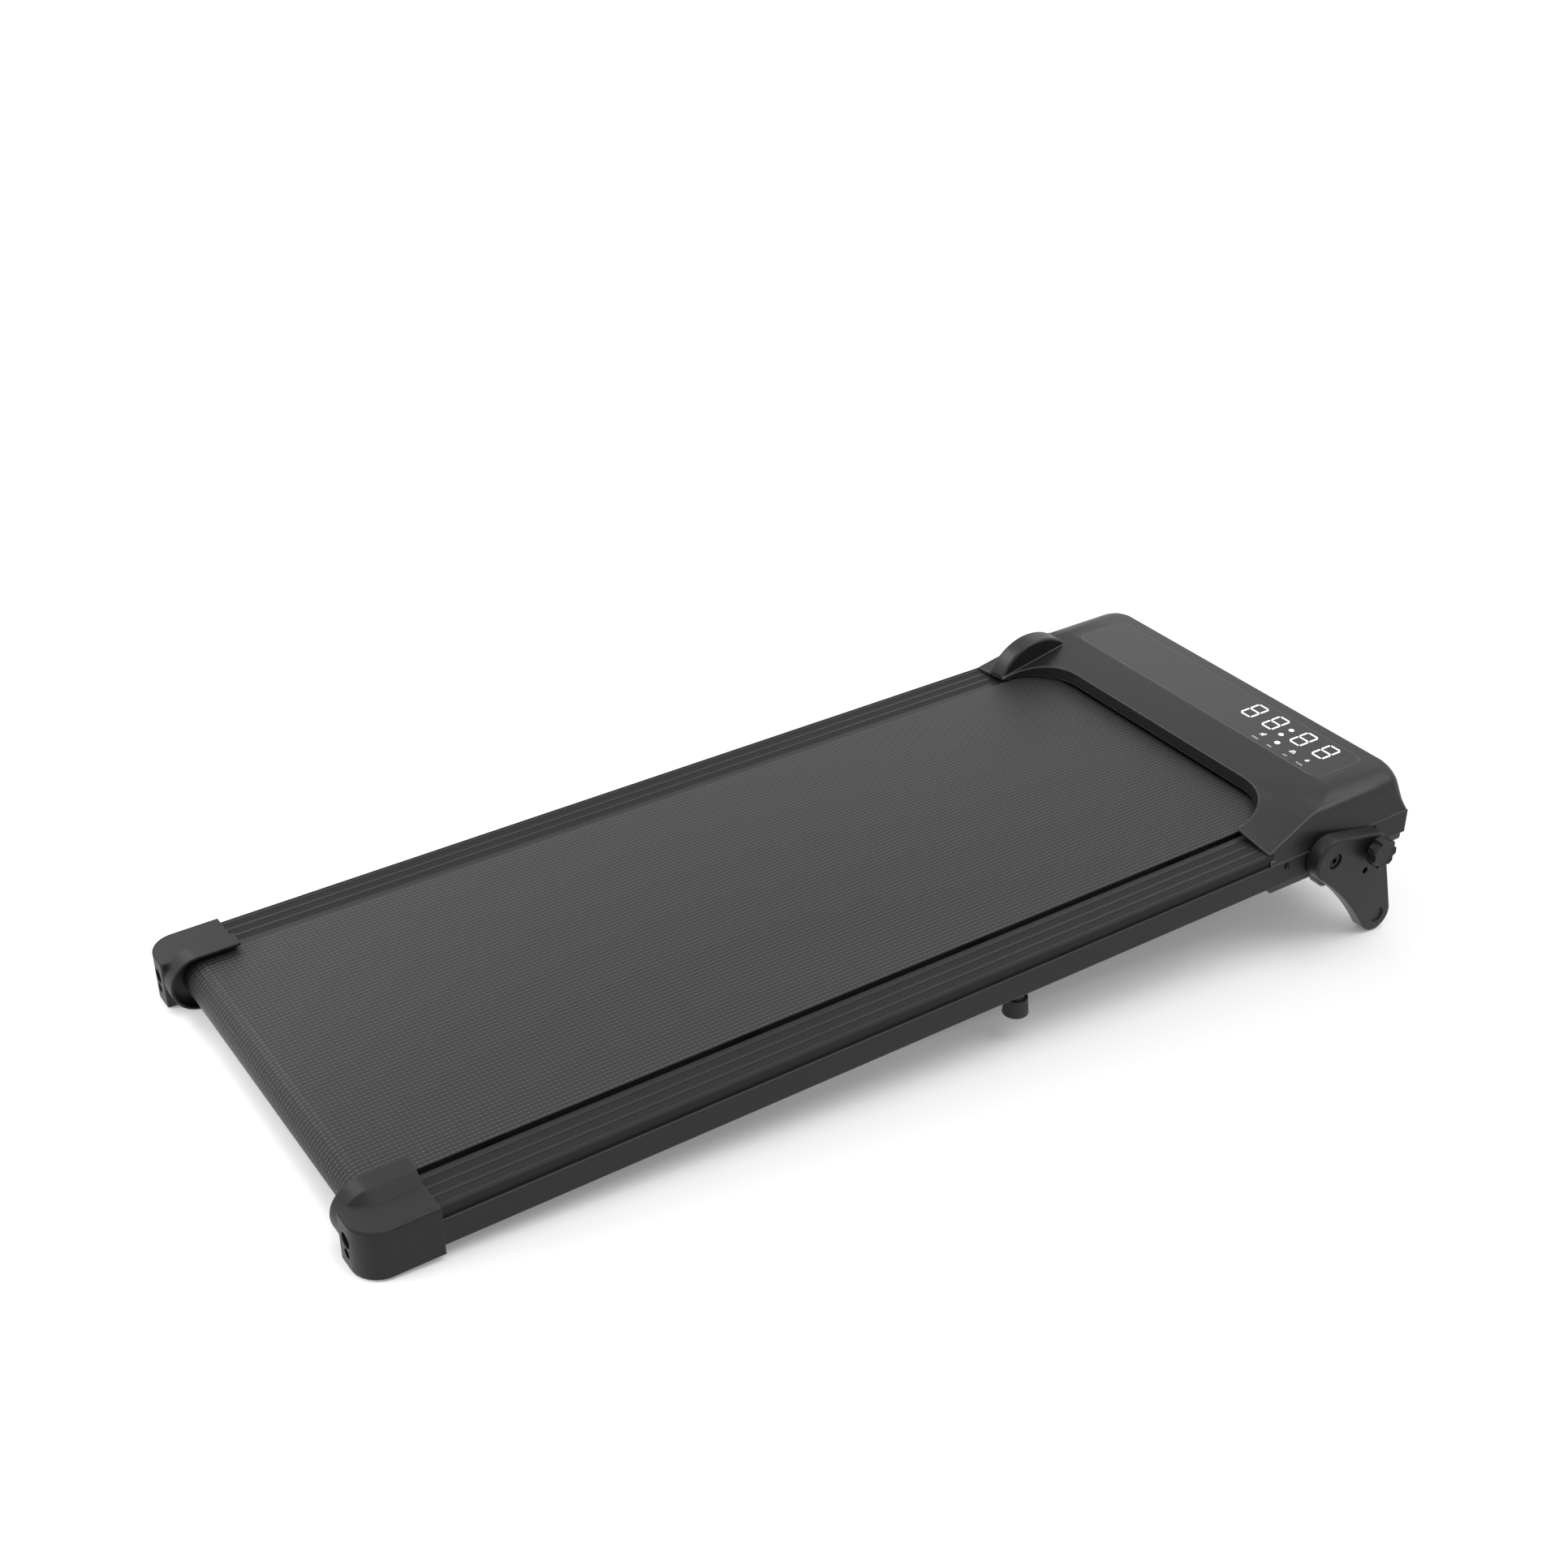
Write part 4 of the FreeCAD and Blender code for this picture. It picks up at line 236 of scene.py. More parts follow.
def grained(name, base, grain, relief, roughness, metallic=0.0, specular=0.5, mottle=0.12,
            stretch=(1.0, 1.0, 1.0), edge=0.2 * MM, edge_highlight=1.0):
    """A finish with a fine grain: noise as wide as the grain, drawn out along an axis where stretch is
    small, shifts the colour by the mottle, the gloss by half of it, and lifts the surface by the relief.
    Edges look rounded by the edge radius, and are painted lighter by the edge highlight factor, a painted
    highlight along them."""
    material, shader = coated(name, base, roughness, metallic, specular)
    tree = material.node_tree
    place = add(tree, "TexCoord")
    drawn = add(tree, "Mapping", {"Vector": place.outputs["Object"], "Scale": stretch})
    noise = add(tree, "TexNoise", {"Vector": drawn.outputs["Vector"], "Scale": 1.0 / grain,
                                   "Detail": NOISE_DETAIL, "Roughness": NOISE_ROUGHNESS})
    tone = add(tree, "Mix", {"Factor": noise.outputs["Fac"], "A": shade(base, 1 - mottle),
                             "B": shade(base, 1 + mottle)}, data_type="RGBA")
    bend = add(tree, "Bevel", {"Radius": edge}, samples=EDGE_SAMPLES)
    # Edges are painted lighter here by the given factor: a painted highlight where the rounded normal turns away.
    if edge_highlight != 1.0:
        flat = add(tree, "NewGeometry")
        level = add(tree, "VectorMath", {0: bend.outputs["Normal"], 1: flat.outputs["Normal"]},
                    operation="DOT_PRODUCT")
        highlight_mask = add(tree, "MapRange", {"Value": level.outputs["Value"], "From Min": EDGE_HIGHLIGHT_BEGINS,
                                     "From Max": EDGE_HIGHLIGHT_FULL})
        tone = add(tree, "Mix", {"Factor": highlight_mask.outputs["Result"], "A": tone.outputs["Result"],
                                 "B": shade(base, edge_highlight)}, data_type="RGBA")
    gloss = add(tree, "MapRange", {"Value": noise.outputs["Fac"], "To Min": roughness * (1 - mottle / 2),
                                   "To Max": roughness * (1 + mottle / 2)})
    bump = add(tree, "Bump", {"Height": noise.outputs["Fac"], "Distance": relief, "Strength": 1.0,
                              "Normal": bend.outputs["Normal"]})
    tree.links.new(tone.outputs["Result"], shader.inputs["Base Color"])
    tree.links.new(gloss.outputs["Result"], shader.inputs["Roughness"])
    tree.links.new(bump.outputs["Normal"], shader.inputs["Normal"])
    return material


# Shares of a tread cell: how far the groove and its slope reach in from the cell's edge, where the dash
# fades in from the cell's ends, and where the dash lies across the cell, with half its width.
GROOVE_REACH = 0.02
SLOPE_REACH = 0.1
DASH_BEGINS = 0.1
DASH_FULL = 0.2
DASH_MIDDLE = 0.24
DASH_HALF = 0.11
HALF_CELL = 0.5
TREAD_BUMP = 0.5


def tread_material(belt):
    """Woven belt with a PVC cover rolled with a grid of small cells: a matt ground, a groove round every
    cell, and a dash along one side of each, painted lighter as a highlight where a raised dash would catch the
    light. The belt's own attribute counts the cells along and across."""
    material, shader = coated("rolled_pvc_belt", belt.ground, roughness=0.5, specular=0.38)
    tree = material.node_tree
    cells = add(tree, "Attribute", attribute_name="tread_cell")
    inside = add(tree, "VectorMath", {0: cells.outputs["Vector"]}, operation="FRACTION")
    split = add(tree, "SeparateXYZ", {"Vector": inside.outputs["Vector"]})
    along = add(tree, "Math", {0: split.outputs["X"], 1: HALF_CELL}, operation="PINGPONG")
    across = add(tree, "Math", {0: split.outputs["Y"], 1: HALF_CELL}, operation="PINGPONG")
    nearest = add(tree, "Math", {0: along.outputs["Value"], 1: across.outputs["Value"]},
                  operation="MINIMUM")
    top = add(tree, "MapRange", {"Value": nearest.outputs["Value"], "From Min": GROOVE_REACH,
                                 "From Max": SLOPE_REACH}, interpolation_type="SMOOTHSTEP")
    dash_ends = add(tree, "MapRange", {"Value": along.outputs["Value"], "From Min": DASH_BEGINS,
                                       "From Max": DASH_FULL}, interpolation_type="SMOOTHSTEP")
    aside = add(tree, "Math", {0: split.outputs["Y"], 1: DASH_MIDDLE, 2: DASH_HALF}, operation="COMPARE")
    # Where the dash lies, the tread is painted lighter: a painted highlight, with no relief of its own.
    dash = add(tree, "Math", {0: dash_ends.outputs["Result"], 1: aside.outputs["Value"]},
               operation="MULTIPLY")
    lower = add(tree, "Mix", {"Factor": top.outputs["Result"], "A": (*belt.groove, 1.0),
                              "B": (*belt.ground, 1.0)}, data_type="RGBA")
    tone = add(tree, "Mix", {"Factor": dash.outputs["Value"], "A": lower.outputs["Result"],
                             "B": (*belt.dash, 1.0)}, data_type="RGBA")
    bump = add(tree, "Bump", {"Height": top.outputs["Result"], "Distance": belt.relief,
                              "Strength": TREAD_BUMP})
    tree.links.new(tone.outputs["Result"], shader.inputs["Base Color"])
    tree.links.new(bump.outputs["Normal"], shader.inputs["Normal"])
    return material


# The foot rail's section along X: its plain inner lip, the width and spacing of its ribbed bands, the plain
# strip before its outer wall, and how many bands and ribs there are.
RAIL_LIP = 7.5 * MM
RAIL_BAND = 8.6 * MM
RAIL_PITCH = 12.0 * MM
RAIL_STRIP = 1.6 * MM
RAIL_BANDS = 3
RIBS_IN_BAND = 6
# Painted shade at the ribs' roots and painted highlight on their crests, as shares of the rail's colour,
# and the roughness of strips and bands.
ROOT_PAINTED_SHADE = 0.45
CREST_PAINTED_HIGHLIGHT = 1.2
STRIP_ROUGHNESS = 0.4
BAND_ROUGHNESS = 0.6


def rail_material(finish):
    """Dark anodised extrusion: ribbed bands and plain satin strips between them. The bands are painted darker
    than the strips, as painted shade for the light the ribs swallow, and each rib has painted shade at its
    root and a painted highlight on its crest. The bands repeat along X from the rail's plain inner lip, and
    its outer wall takes the bands' darker colours."""
    inner_edge = pad_box("side_rail_right")[0][0]
    material, shader = coated("anodised_aluminium", finish.rail, roughness=BAND_ROUGHNESS, specular=0.28)
    tree = material.node_tree
    place = add(tree, "TexCoord")
    split = add(tree, "SeparateXYZ", {"Vector": place.outputs["Object"]})
    out = add(tree, "Math", {0: split.outputs["X"]}, operation="ABSOLUTE")
    start = add(tree, "Math", {0: out.outputs["Value"], 1: inner_edge + RAIL_LIP}, operation="SUBTRACT")
    within = add(tree, "Math", {0: start.outputs["Value"], 1: RAIL_PITCH}, operation="FLOORED_MODULO")
    banded = add(tree, "Math", {0: within.outputs["Value"], 1: RAIL_BAND}, operation="LESS_THAN")
    middle = RAIL_BANDS * RAIL_PITCH / 2
    ribbed = add(tree, "Math", {0: start.outputs["Value"], 1: middle, 2: middle}, operation="COMPARE")
    inner = add(tree, "Math", {0: banded.outputs["Value"], 1: ribbed.outputs["Value"]}, operation="MULTIPLY")
    wall_start = (RAIL_BANDS - 1) * RAIL_PITCH + RAIL_BAND + RAIL_STRIP
    wall = add(tree, "Math", {0: start.outputs["Value"], 1: wall_start}, operation="GREATER_THAN")
    dark = add(tree, "Math", {0: inner.outputs["Value"], 1: wall.outputs["Value"]}, operation="MAXIMUM")
    half_rib = RAIL_BAND / RIBS_IN_BAND / 2
    crest = add(tree, "Math", {0: within.outputs["Value"], 1: half_rib}, operation="PINGPONG")
    lifted = add(tree, "MapRange", {"Value": crest.outputs["Value"], "From Max": half_rib},
                 interpolation_type="SMOOTHSTEP")
    # Each rib is painted with shade at its root and with a highlight on its crest.
    rib = add(tree, "Mix", {"Factor": lifted.outputs["Result"], "A": shade(finish.rail, ROOT_PAINTED_SHADE),
                            "B": shade(finish.rail, CREST_PAINTED_HIGHLIGHT)}, data_type="RGBA")
    # Bands are painted darker than the strips, painted shade; the outer wall takes the same dark colours.
    tone = add(tree, "Mix", {"Factor": dark.outputs["Value"], "A": (*finish.strip, 1.0),
                             "B": rib.outputs["Result"]}, data_type="RGBA")
    dull = add(tree, "MapRange", {"Value": dark.outputs["Value"], "To Min": STRIP_ROUGHNESS,
                                  "To Max": BAND_ROUGHNESS})
    tree.links.new(tone.outputs["Result"], shader.inputs["Base Color"])
    tree.links.new(dull.outputs["Result"], shader.inputs["Roughness"])
    return material


def lit_material(name, colour_of_light, strength):
    """Light-emitting marks in a smoked window: flat and even."""
    material, shader = coated(name, colour_of_light, roughness=0.4, specular=0.2)
    shader.inputs["Emission Color"].default_value = (*colour_of_light, 1.0)
    shader.inputs["Emission Strength"].default_value = strength
    return material


def finishes(finish):
    """One material for each material slot of the record, and one for the coarser mouldings."""
    # Where a finish is given an edge highlight factor, its edges are painted lighter by it, a painted highlight.
    return {
        # Baked polyester powder: a soft orange peel that breaks up the highlights.
        "painted_steel": grained("powder_coated_steel", finish.steel, grain=1.8 * MM, relief=0.02 * MM,
                                 roughness=0.5, specular=0.25, edge=1.5 * finish.edge, edge_highlight=6.0),
        # Dark anodised aluminium: ribbed bands between plain satin strips, the bands with painted shade.
        "anodised_rail": rail_material(finish),
        # ABS from a spark-eroded mould: a matt skin with a fine sparkle, drawn coarser than life so that it
        # shows.
        "moulded_plastic": grained("moulded_abs", finish.plastic, grain=1.3 * MM, relief=0.02 * MM,
                                   roughness=0.36, specular=0.36, mottle=0.08, edge=1.8 * finish.edge,
                                   edge_highlight=8.0),
        # The same ABS from a coarser mould: drier, so it mirrors less of the room than the hood.
        "coarse_plastic": grained("coarse_moulded_abs", finish.cap, grain=1.6 * MM, relief=0.03 * MM,
                                  roughness=0.42, specular=0.27, mottle=0.08, edge=finish.edge, edge_highlight=3.0),
        # Glass-filled nylon: a little drier than the hood, with faint flow marks.
        "leg_plastic": grained("glass_filled_nylon", finish.leg, grain=2.2 * MM, relief=0.02 * MM,
                               roughness=0.45, specular=0.3, mottle=0.08, edge=finish.edge, edge_highlight=5.0),
        # Moulded polypropylene: a waxy dark grey with a soft sheen.
        "wheel_plastic": grained("moulded_polypropylene", linear("#2E2F30"), grain=2.0 * MM,
                                 relief=0.03 * MM, roughness=0.45),
        # Film-faced fibreboard: black phenolic paper over pressed fibres, waxed dull for the belt to slide.
        "deck_wood": grained("film_faced_fibreboard", linear("#101010"), grain=3.0 * MM, relief=0.02 * MM,
                             roughness=0.55, specular=0.2, mottle=0.25),
        # Vulcanised rubber: dull and nearly black.
        "black_rubber": grained("vulcanised_rubber", linear("#2F2F2F"), grain=2.5 * MM, relief=0.06 * MM,
                                roughness=0.75, specular=0.3),
        # Turned steel: fine rings round the roller's axis.
        "roller_steel": grained("turned_steel", linear("#9A9A9A"), grain=1.5 * MM, relief=0.01 * MM,
                                roughness=0.35, metallic=1.0, stretch=(1.0, 0.02, 0.02)),
        # Black zinc plate: a dark, slightly cloudy metal.
        "zinc_fastener": grained("black_zinc_plate", linear("#2C2C2D"), grain=3.0 * MM, relief=0.01 * MM,
                                 roughness=0.4, metallic=1.0),
        # Bare aluminium: a pale metal, turned to fine rings round the pulleys' axis.
        "pulley_metal": grained("bare_aluminium", linear("#B4B4B6"), grain=2.0 * MM, relief=0.01 * MM,
                                roughness=0.4, metallic=1.0, stretch=(1.0, 0.05, 0.05)),
        # Smoked acrylic: nearly the hood's tone, but smooth, so it mirrors the room softly.
        "gloss_panel": grained("smoked_acrylic", finish.window, grain=25.0 * MM, relief=0.002 * MM,
                               roughness=0.32, specular=0.34, mottle=0.03),
        # Baked enamel on a pressed can: dark and half gloss.
        "motor_can": grained("enamelled_motor_can", linear("#2B2B2D"), grain=2.5 * MM, relief=0.02 * MM,
                             roughness=0.4),
        # Glass fibre under green lacquer: cloudy and half gloss.
        "circuit_board": grained("glass_fibre_board", linear("#1F5A3A"), grain=2.0 * MM, relief=0.02 * MM,
                                 roughness=0.45, mottle=0.2),
        # Polycarbonate from a polished mould: nearly black and glossy.
        "switch_plastic": grained("polished_polycarbonate", linear("#262627"), grain=4.0 * MM,
                                  relief=0.005 * MM, roughness=0.25),
        # Flame-proof nylon: dark, dry and even.
        "entry_plastic": grained("flame_proof_nylon", linear("#2A2A2B"), grain=1.5 * MM, relief=0.03 * MM,
                                 roughness=0.5),
        # Woven polyester: the dull grey back of the walking belt.
        "belt": grained("belt_backing", linear("#3A3A3B"), grain=1.5 * MM, relief=0.03 * MM, roughness=0.6),
    }


# Nodes whose plastic comes from the coarser mould.
COARSE = ("end_cap_left", "end_cap_right")


class WALKPAD_OT_finishes(bpy.types.Operator):
    """Gives every CAD node the finish of its material slot"""
    bl_idname = "walkpad.finishes"
    bl_label = "Finishes"

    def execute(self, context):
        made = finishes(context.scene.walkpad_finish)
        for part in frame["record"]["subparts"]:
            materials = frame["nodes"][part["node"]].data.materials
            materials.clear()
            materials.append(made["coarse_plastic" if part["node"] in COARSE else part["material_slot"]])
        return {"FINISHED"}


# Decimals of a metre to which corners are compared: a hundredth of a millimetre.
MERGE_DECIMALS = 5


def merged(name):
    """Points and triangles of a CAD node, with loose corners merged where they meet to a hundredth of a
    millimetre."""
    mesh = frame["nodes"][name].data
    places = places_of(mesh)
    first, index = np.unique(np.round(places, MERGE_DECIMALS), axis=0, return_index=True,
                             return_inverse=True)[1:]
    faces = index.reshape(-1)[corners_of(mesh)].reshape(-1, 3)
    whole = (faces != np.roll(faces, 1, axis=1)).all(1)
    return places[first], faces[whole]


# Moulded nodes whose shallow facets are shaded as one curved skin, and the angle above which an edge stays
# sharp.
SKINS = ("hood", "end_cap_left", "end_cap_right", "incline_leg_left", "incline_leg_right", "knob_left",
         "knob_right", "bottom_pan", "mid_feet")
SHARP_ANGLE = math.radians(34.0)


class WALKPAD_OT_skins(bpy.types.Operator):
    """Gives the moulded pieces a smooth skin: a merged copy of each node, its normals led by larger faces"""
    bl_idname = "walkpad.skins"
    bl_label = "Moulded skins"

    def execute(self, context):
        record = frame["record"]
        bodies = {node: body for body, nodes in record["behaviour"]["bodies"].items() for node in nodes}
        slots = {part["node"]: part["material_slot"] for part in record["subparts"]}
        for name in SKINS:
            material = frame["nodes"][name].data.materials[0]
            made = piece(name + "_skin", *merged(name), bodies[name], slots[name], material, smooth=True)
            made.data.set_sharp_from_angle(angle=SHARP_ANGLE)
            even = made.modifiers.new("even_normals", "WEIGHTED_NORMAL")
            even.keep_sharp = True
            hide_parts(name)
        return {"FINISHED"}


def belt_path(radius):
    """The belt's middle line round both rollers, from halfway along its lower run: back to the rear roller,
    up round it, along the deck, down round the front roller and back. Gives places and outward directions in
    the plane of the path, and the length run so far."""
    straight_steps, arc_steps = 24, 64
    run = np.linspace(0.0, 1.0, straight_steps, endpoint=False)
    turn = np.linspace(0.0, math.pi, arc_steps, endpoint=False)
    half = ROLLER_SPACING / 2
    centre_y = np.concatenate([-half - half * run, np.full(arc_steps, -ROLLER_SPACING),
                               -ROLLER_SPACING + ROLLER_SPACING * run, np.zeros(arc_steps), -half * run])
    normal = np.concatenate([np.full(straight_steps, -math.pi / 2), -math.pi / 2 - turn,
                             np.full(straight_steps, math.pi / 2), math.pi / 2 - turn,
                             np.full(straight_steps, -math.pi / 2)])
    out = np.stack([np.cos(normal), np.sin(normal)], axis=-1)
    place = np.stack([centre_y, np.zeros_like(centre_y)], axis=-1) + radius * out
    step = np.linalg.norm(np.roll(place, -1, axis=0) - place, axis=-1)
    return place, out, np.concatenate([[0.0], np.cumsum(step)])


def belt_section(width, thickness):
    """The belt's section: a flat band with half-round edges, as steps across and out."""
    edge_steps = 6
    round_edge = thickness / 2
    turn = np.linspace(-math.pi / 2, math.pi / 2, edge_steps)
    across = np.concatenate([width / 2 - round_edge + round_edge * np.cos(turn),
                             -width / 2 + round_edge - round_edge * np.cos(turn)])
    out = np.concatenate([round_edge * np.sin(turn), -round_edge * np.sin(turn)])
    return across, out


class WALKPAD_OT_belt(bpy.types.Operator):
    """Makes the walking belt as a section carried round both rollers, with its tread counted in cells"""
    bl_idname = "walkpad.belt"
    bl_label = "Walking belt"

    def execute(self, context):
        belt = context.scene.walkpad_belt
        low, high = pad_box("walking_belt")
        place, out, run = belt_path(high[2] - belt.thickness / 2)
        across, lift = belt_section(high[0] - low[0], belt.thickness)
        # Each point is a place on the path, moved out by the section's lift and across by its step.
        shape = (len(place), len(across))
        side = np.broadcast_to(across, shape)
        rest = place[:, None, :] + lift[None, :, None] * out[:, None, :]
        points = on_pad(np.concatenate([side[..., None], rest], axis=-1).reshape(-1, 3))
        made = piece("belt_tread", points, wrapped_faces(*shape), "frame", "belt", tread_material(belt),
                     smooth=True)
        # Cells are counted at each face corner, so that the count runs on through the seam in the lower run.
        rows = round(run[-1] / belt.cell_length)
        counts = run / run[-1] * rows
        cell_across = np.concatenate([across, across[:1]]) / belt.cell_width
        row, column = np.meshgrid(np.arange(shape[0]), np.arange(shape[1]), indexing="ij")
        corner_rows = counts[np.stack([row, row + 1, row + 1, row], axis=-1)]
        corner_columns = cell_across[np.stack([column, column, column + 1, column + 1], axis=-1)]
        cells = np.stack([corner_rows, corner_columns, np.zeros_like(corner_rows)], axis=-1)
        counted = made.data.attributes.new("tread_cell", "FLOAT_VECTOR", "CORNER")
        counted.data.foreach_set("vector", cells.ravel())
        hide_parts("walking_belt")
        return {"FINISHED"}


def plate(name, points, faces, slot, material, height):
    """A thin plate that stands out of the frame by a height, from flat faces on the pad's own axes."""
    made = piece(name, on_pad(points), faces, "frame", slot, material)
    solid = made.modifiers.new("plate", "SOLIDIFY")
    solid.thickness = height
    solid.offset = 1.0


# Arms of a screw's cross as shares of the head's radius: how far they reach, and half their width.
CROSS_REACH = 0.66
CROSS_HALF = 0.17
RECESS_HEIGHT = 0.05 * MM


class WALKPAD_OT_screws(bpy.types.Operator):
    """Makes the cross recesses of the side screws, as thin dark crosses on their heads"""
    bl_idname = "walkpad.screws"
    bl_label = "Screw recesses"

    def execute(self, context):
        low, high = pad_box("side_screws")
        head = (high[2] - low[2]) / 2
        # A cross walked round its twelve corners: each arm reaches two thirds of the head.
        reach, half = CROSS_REACH * head, CROSS_HALF * head
        cross = np.array([(reach, -half), (reach, half), (half, half), (half, reach), (-half, reach),
                          (-half, half), (-reach, half), (-reach, -half), (-half, -half), (-half, -reach),
                          (half, -reach), (half, -half)])
        level = (low[2] + high[2]) / 2
        centres = np.array([(low[1] + head, level), (high[1] - head, level)])
        flat = (centres[:, None, :] + cross[None]).reshape(-1, 2)
        right = np.column_stack([np.full(len(flat), high[0]), flat])
        left = np.column_stack([np.full(len(flat), low[0]), flat])
        # The crosses on the left are walked the other way round, so that they face left.
        order = np.arange(2 * len(flat)).reshape(-1, len(cross))
        order[len(centres):] = order[len(centres):, ::-1]
        # A recess lies in its own shade, so it is nearly black.
        dark = grained("screw_recess_shade", linear("#0A0A0B"), grain=1.0 * MM, relief=0.005 * MM,
                       roughness=0.6, specular=0.1)
        plate("screw_recesses", np.concatenate([right, left]), order, "zinc_fastener", dark, RECESS_HEIGHT)
        return {"FINISHED"}


def bars(starts, ends, stroke):
    """Flat bars with pointed ends: each runs from a start to an end, and its six corners are its two tips
    and four shoulders, half a stroke inside the tips and half a stroke to each side."""
    starts, ends = np.asarray(starts, float), np.asarray(ends, float)
    along = (ends - starts) / np.linalg.norm(ends - starts, axis=-1, keepdims=True) * stroke / 2
    aside = np.stack([-along[:, 1], along[:, 0]], axis=-1)
    return np.stack([starts, starts + along - aside, ends - along - aside, ends, ends - along + aside,
                     starts + along + aside], axis=1)


# Gap between the bars of a digit at its corners, as a share of their width.
CORNER_GAP = 0.35


def digit_bars(left, bottom, width, height, stroke):
    """The seven bars of a digit that shows 8: three across and four upright, a gap apart at the corners."""
    gap = stroke * CORNER_GAP
    inner_left, inner_right = left + stroke / 2, left + width - stroke / 2
    levels = [bottom + stroke / 2, bottom + height / 2, bottom + height - stroke / 2]
    starts = [(inner_left + gap, level) for level in levels]
    ends = [(inner_right - gap, level) for level in levels]
    for side in (inner_left, inner_right):
        for lower, upper in zip(levels, levels[1:]):
            starts.append((side, lower + gap))
            ends.append((side, upper - gap))
    return bars(starts, ends, stroke)


# Steps round a dot or a flame, and round the line at the window's edge.
ROUND_STEPS = 24
RING_STEPS = 64


def discs(centres, radius):
    """Round dots: points at even angles round each centre."""
    turn = np.linspace(0.0, 2 * math.pi, ROUND_STEPS, endpoint=False)
    ring = radius * np.stack([np.cos(turn), np.sin(turn)], axis=-1)
    return np.asarray(centres, float)[:, None, :] + ring[None]


def flame(centre, size):
    """A flame: a drop with its tip up. It rises by the angle's cosine, is as wide as the angle's sine times
    a power of the half angle's sine, which closes it at the tip, and leans aside by a share of its rise."""
    fullness, taper, lean = 0.42, 1.4, 0.12
    turn = np.linspace(0.0, 2 * math.pi, ROUND_STEPS, endpoint=False)
    width = fullness * np.sin(turn) * np.sin(turn / 2) ** taper
    rise = np.cos(turn) / 2
    return (np.asarray(centre) + size * np.stack([width + lean * rise, rise], axis=-1))[None]


def window_ring(half_length, rear, front, corner, width):
    """A flat band just inside the window's edge: four round corners, walked at even angles, at the edge and
    again a width inside it."""
    turn = np.linspace(0.0, 2 * math.pi, RING_STEPS, endpoint=False) + math.pi / RING_STEPS
    side, ahead = np.sign(np.cos(turn)), np.sign(np.sin(turn))
    middle, half = (rear + front) / 2, (front - rear) / 2
    centre = np.stack([side * (half_length - corner), middle + ahead * (half - corner)], axis=-1)
    out = np.stack([np.cos(turn), np.sin(turn)], axis=-1)
    rings = np.stack([centre + corner * out, centre + (corner - width) * out])
    step = np.roll(rings, -1, axis=1)
    return np.stack([rings[1], rings[0], step[0], step[1]], axis=1)


# Where the marks stand in the window: distances to the right of the middle and ahead of the front roller's
# axis.
DIGIT_LEFTS = (41.8 * MM, 73.6 * MM, 115.6 * MM, 148.0 * MM)
DIGIT_BOTTOM = 89.0 * MM
COLON_PLACES = ((103.0 * MM, 106.8 * MM), (103.0 * MM, 91.4 * MM))
COLON_RADIUS = 2.9 * MM
ICON_ROW = 75.7 * MM
LEGEND_ROW = 63.7 * MM
LEGENDS = (("KM/H", 92.1 * MM), ("MIN", 113.2 * MM), ("KM", 136.4 * MM), ("KCAL", 157.8 * MM))
LEGEND_HEIGHT = 2.7 * MM
# Height of a capital letter as a share of the font's size, and the steps along each of a letter's curves.
CAPITAL_SHARE = 0.72
LETTER_STEPS = 3
# Strokes of the walker and of the road, in millimetres from the middle of each icon.
WALKER = ((0.9, 1.4, -0.4, -0.6), (0.9, 1.3, 2.9, 0.2), (0.7, 1.5, -1.6, 1.0),
          (-1.6, 1.0, -2.4, -0.6), (-0.4, -0.6, 1.4, -1.5), (1.4, -1.5, 1.0, -3.6),
          (-0.4, -0.6, -1.2, -2.2), (-1.2, -2.2, -3.3, -2.5))
ROAD = ((-1.0, 3.2, -3.0, -3.2), (1.0, 3.2, 3.0, -3.2), (0.0, 2.8, 0.0, 1.0), (0.0, -0.4, 0.0, -3.2))
ICON_STROKE = 1.0 * MM
# The walker's head, from the middle of its icon, the clock's dot and the flame.
HEAD_PLACE = (1.5 * MM, 2.9 * MM)
HEAD_RADIUS = 0.9 * MM
CLOCK_RADIUS = 3.2 * MM
FLAME_SIZE = 7.0 * MM
# How strongly the digits and icons and the dimmer legends glow.
DIGIT_GLOW = 0.6
LEGEND_GLOW = 0.4


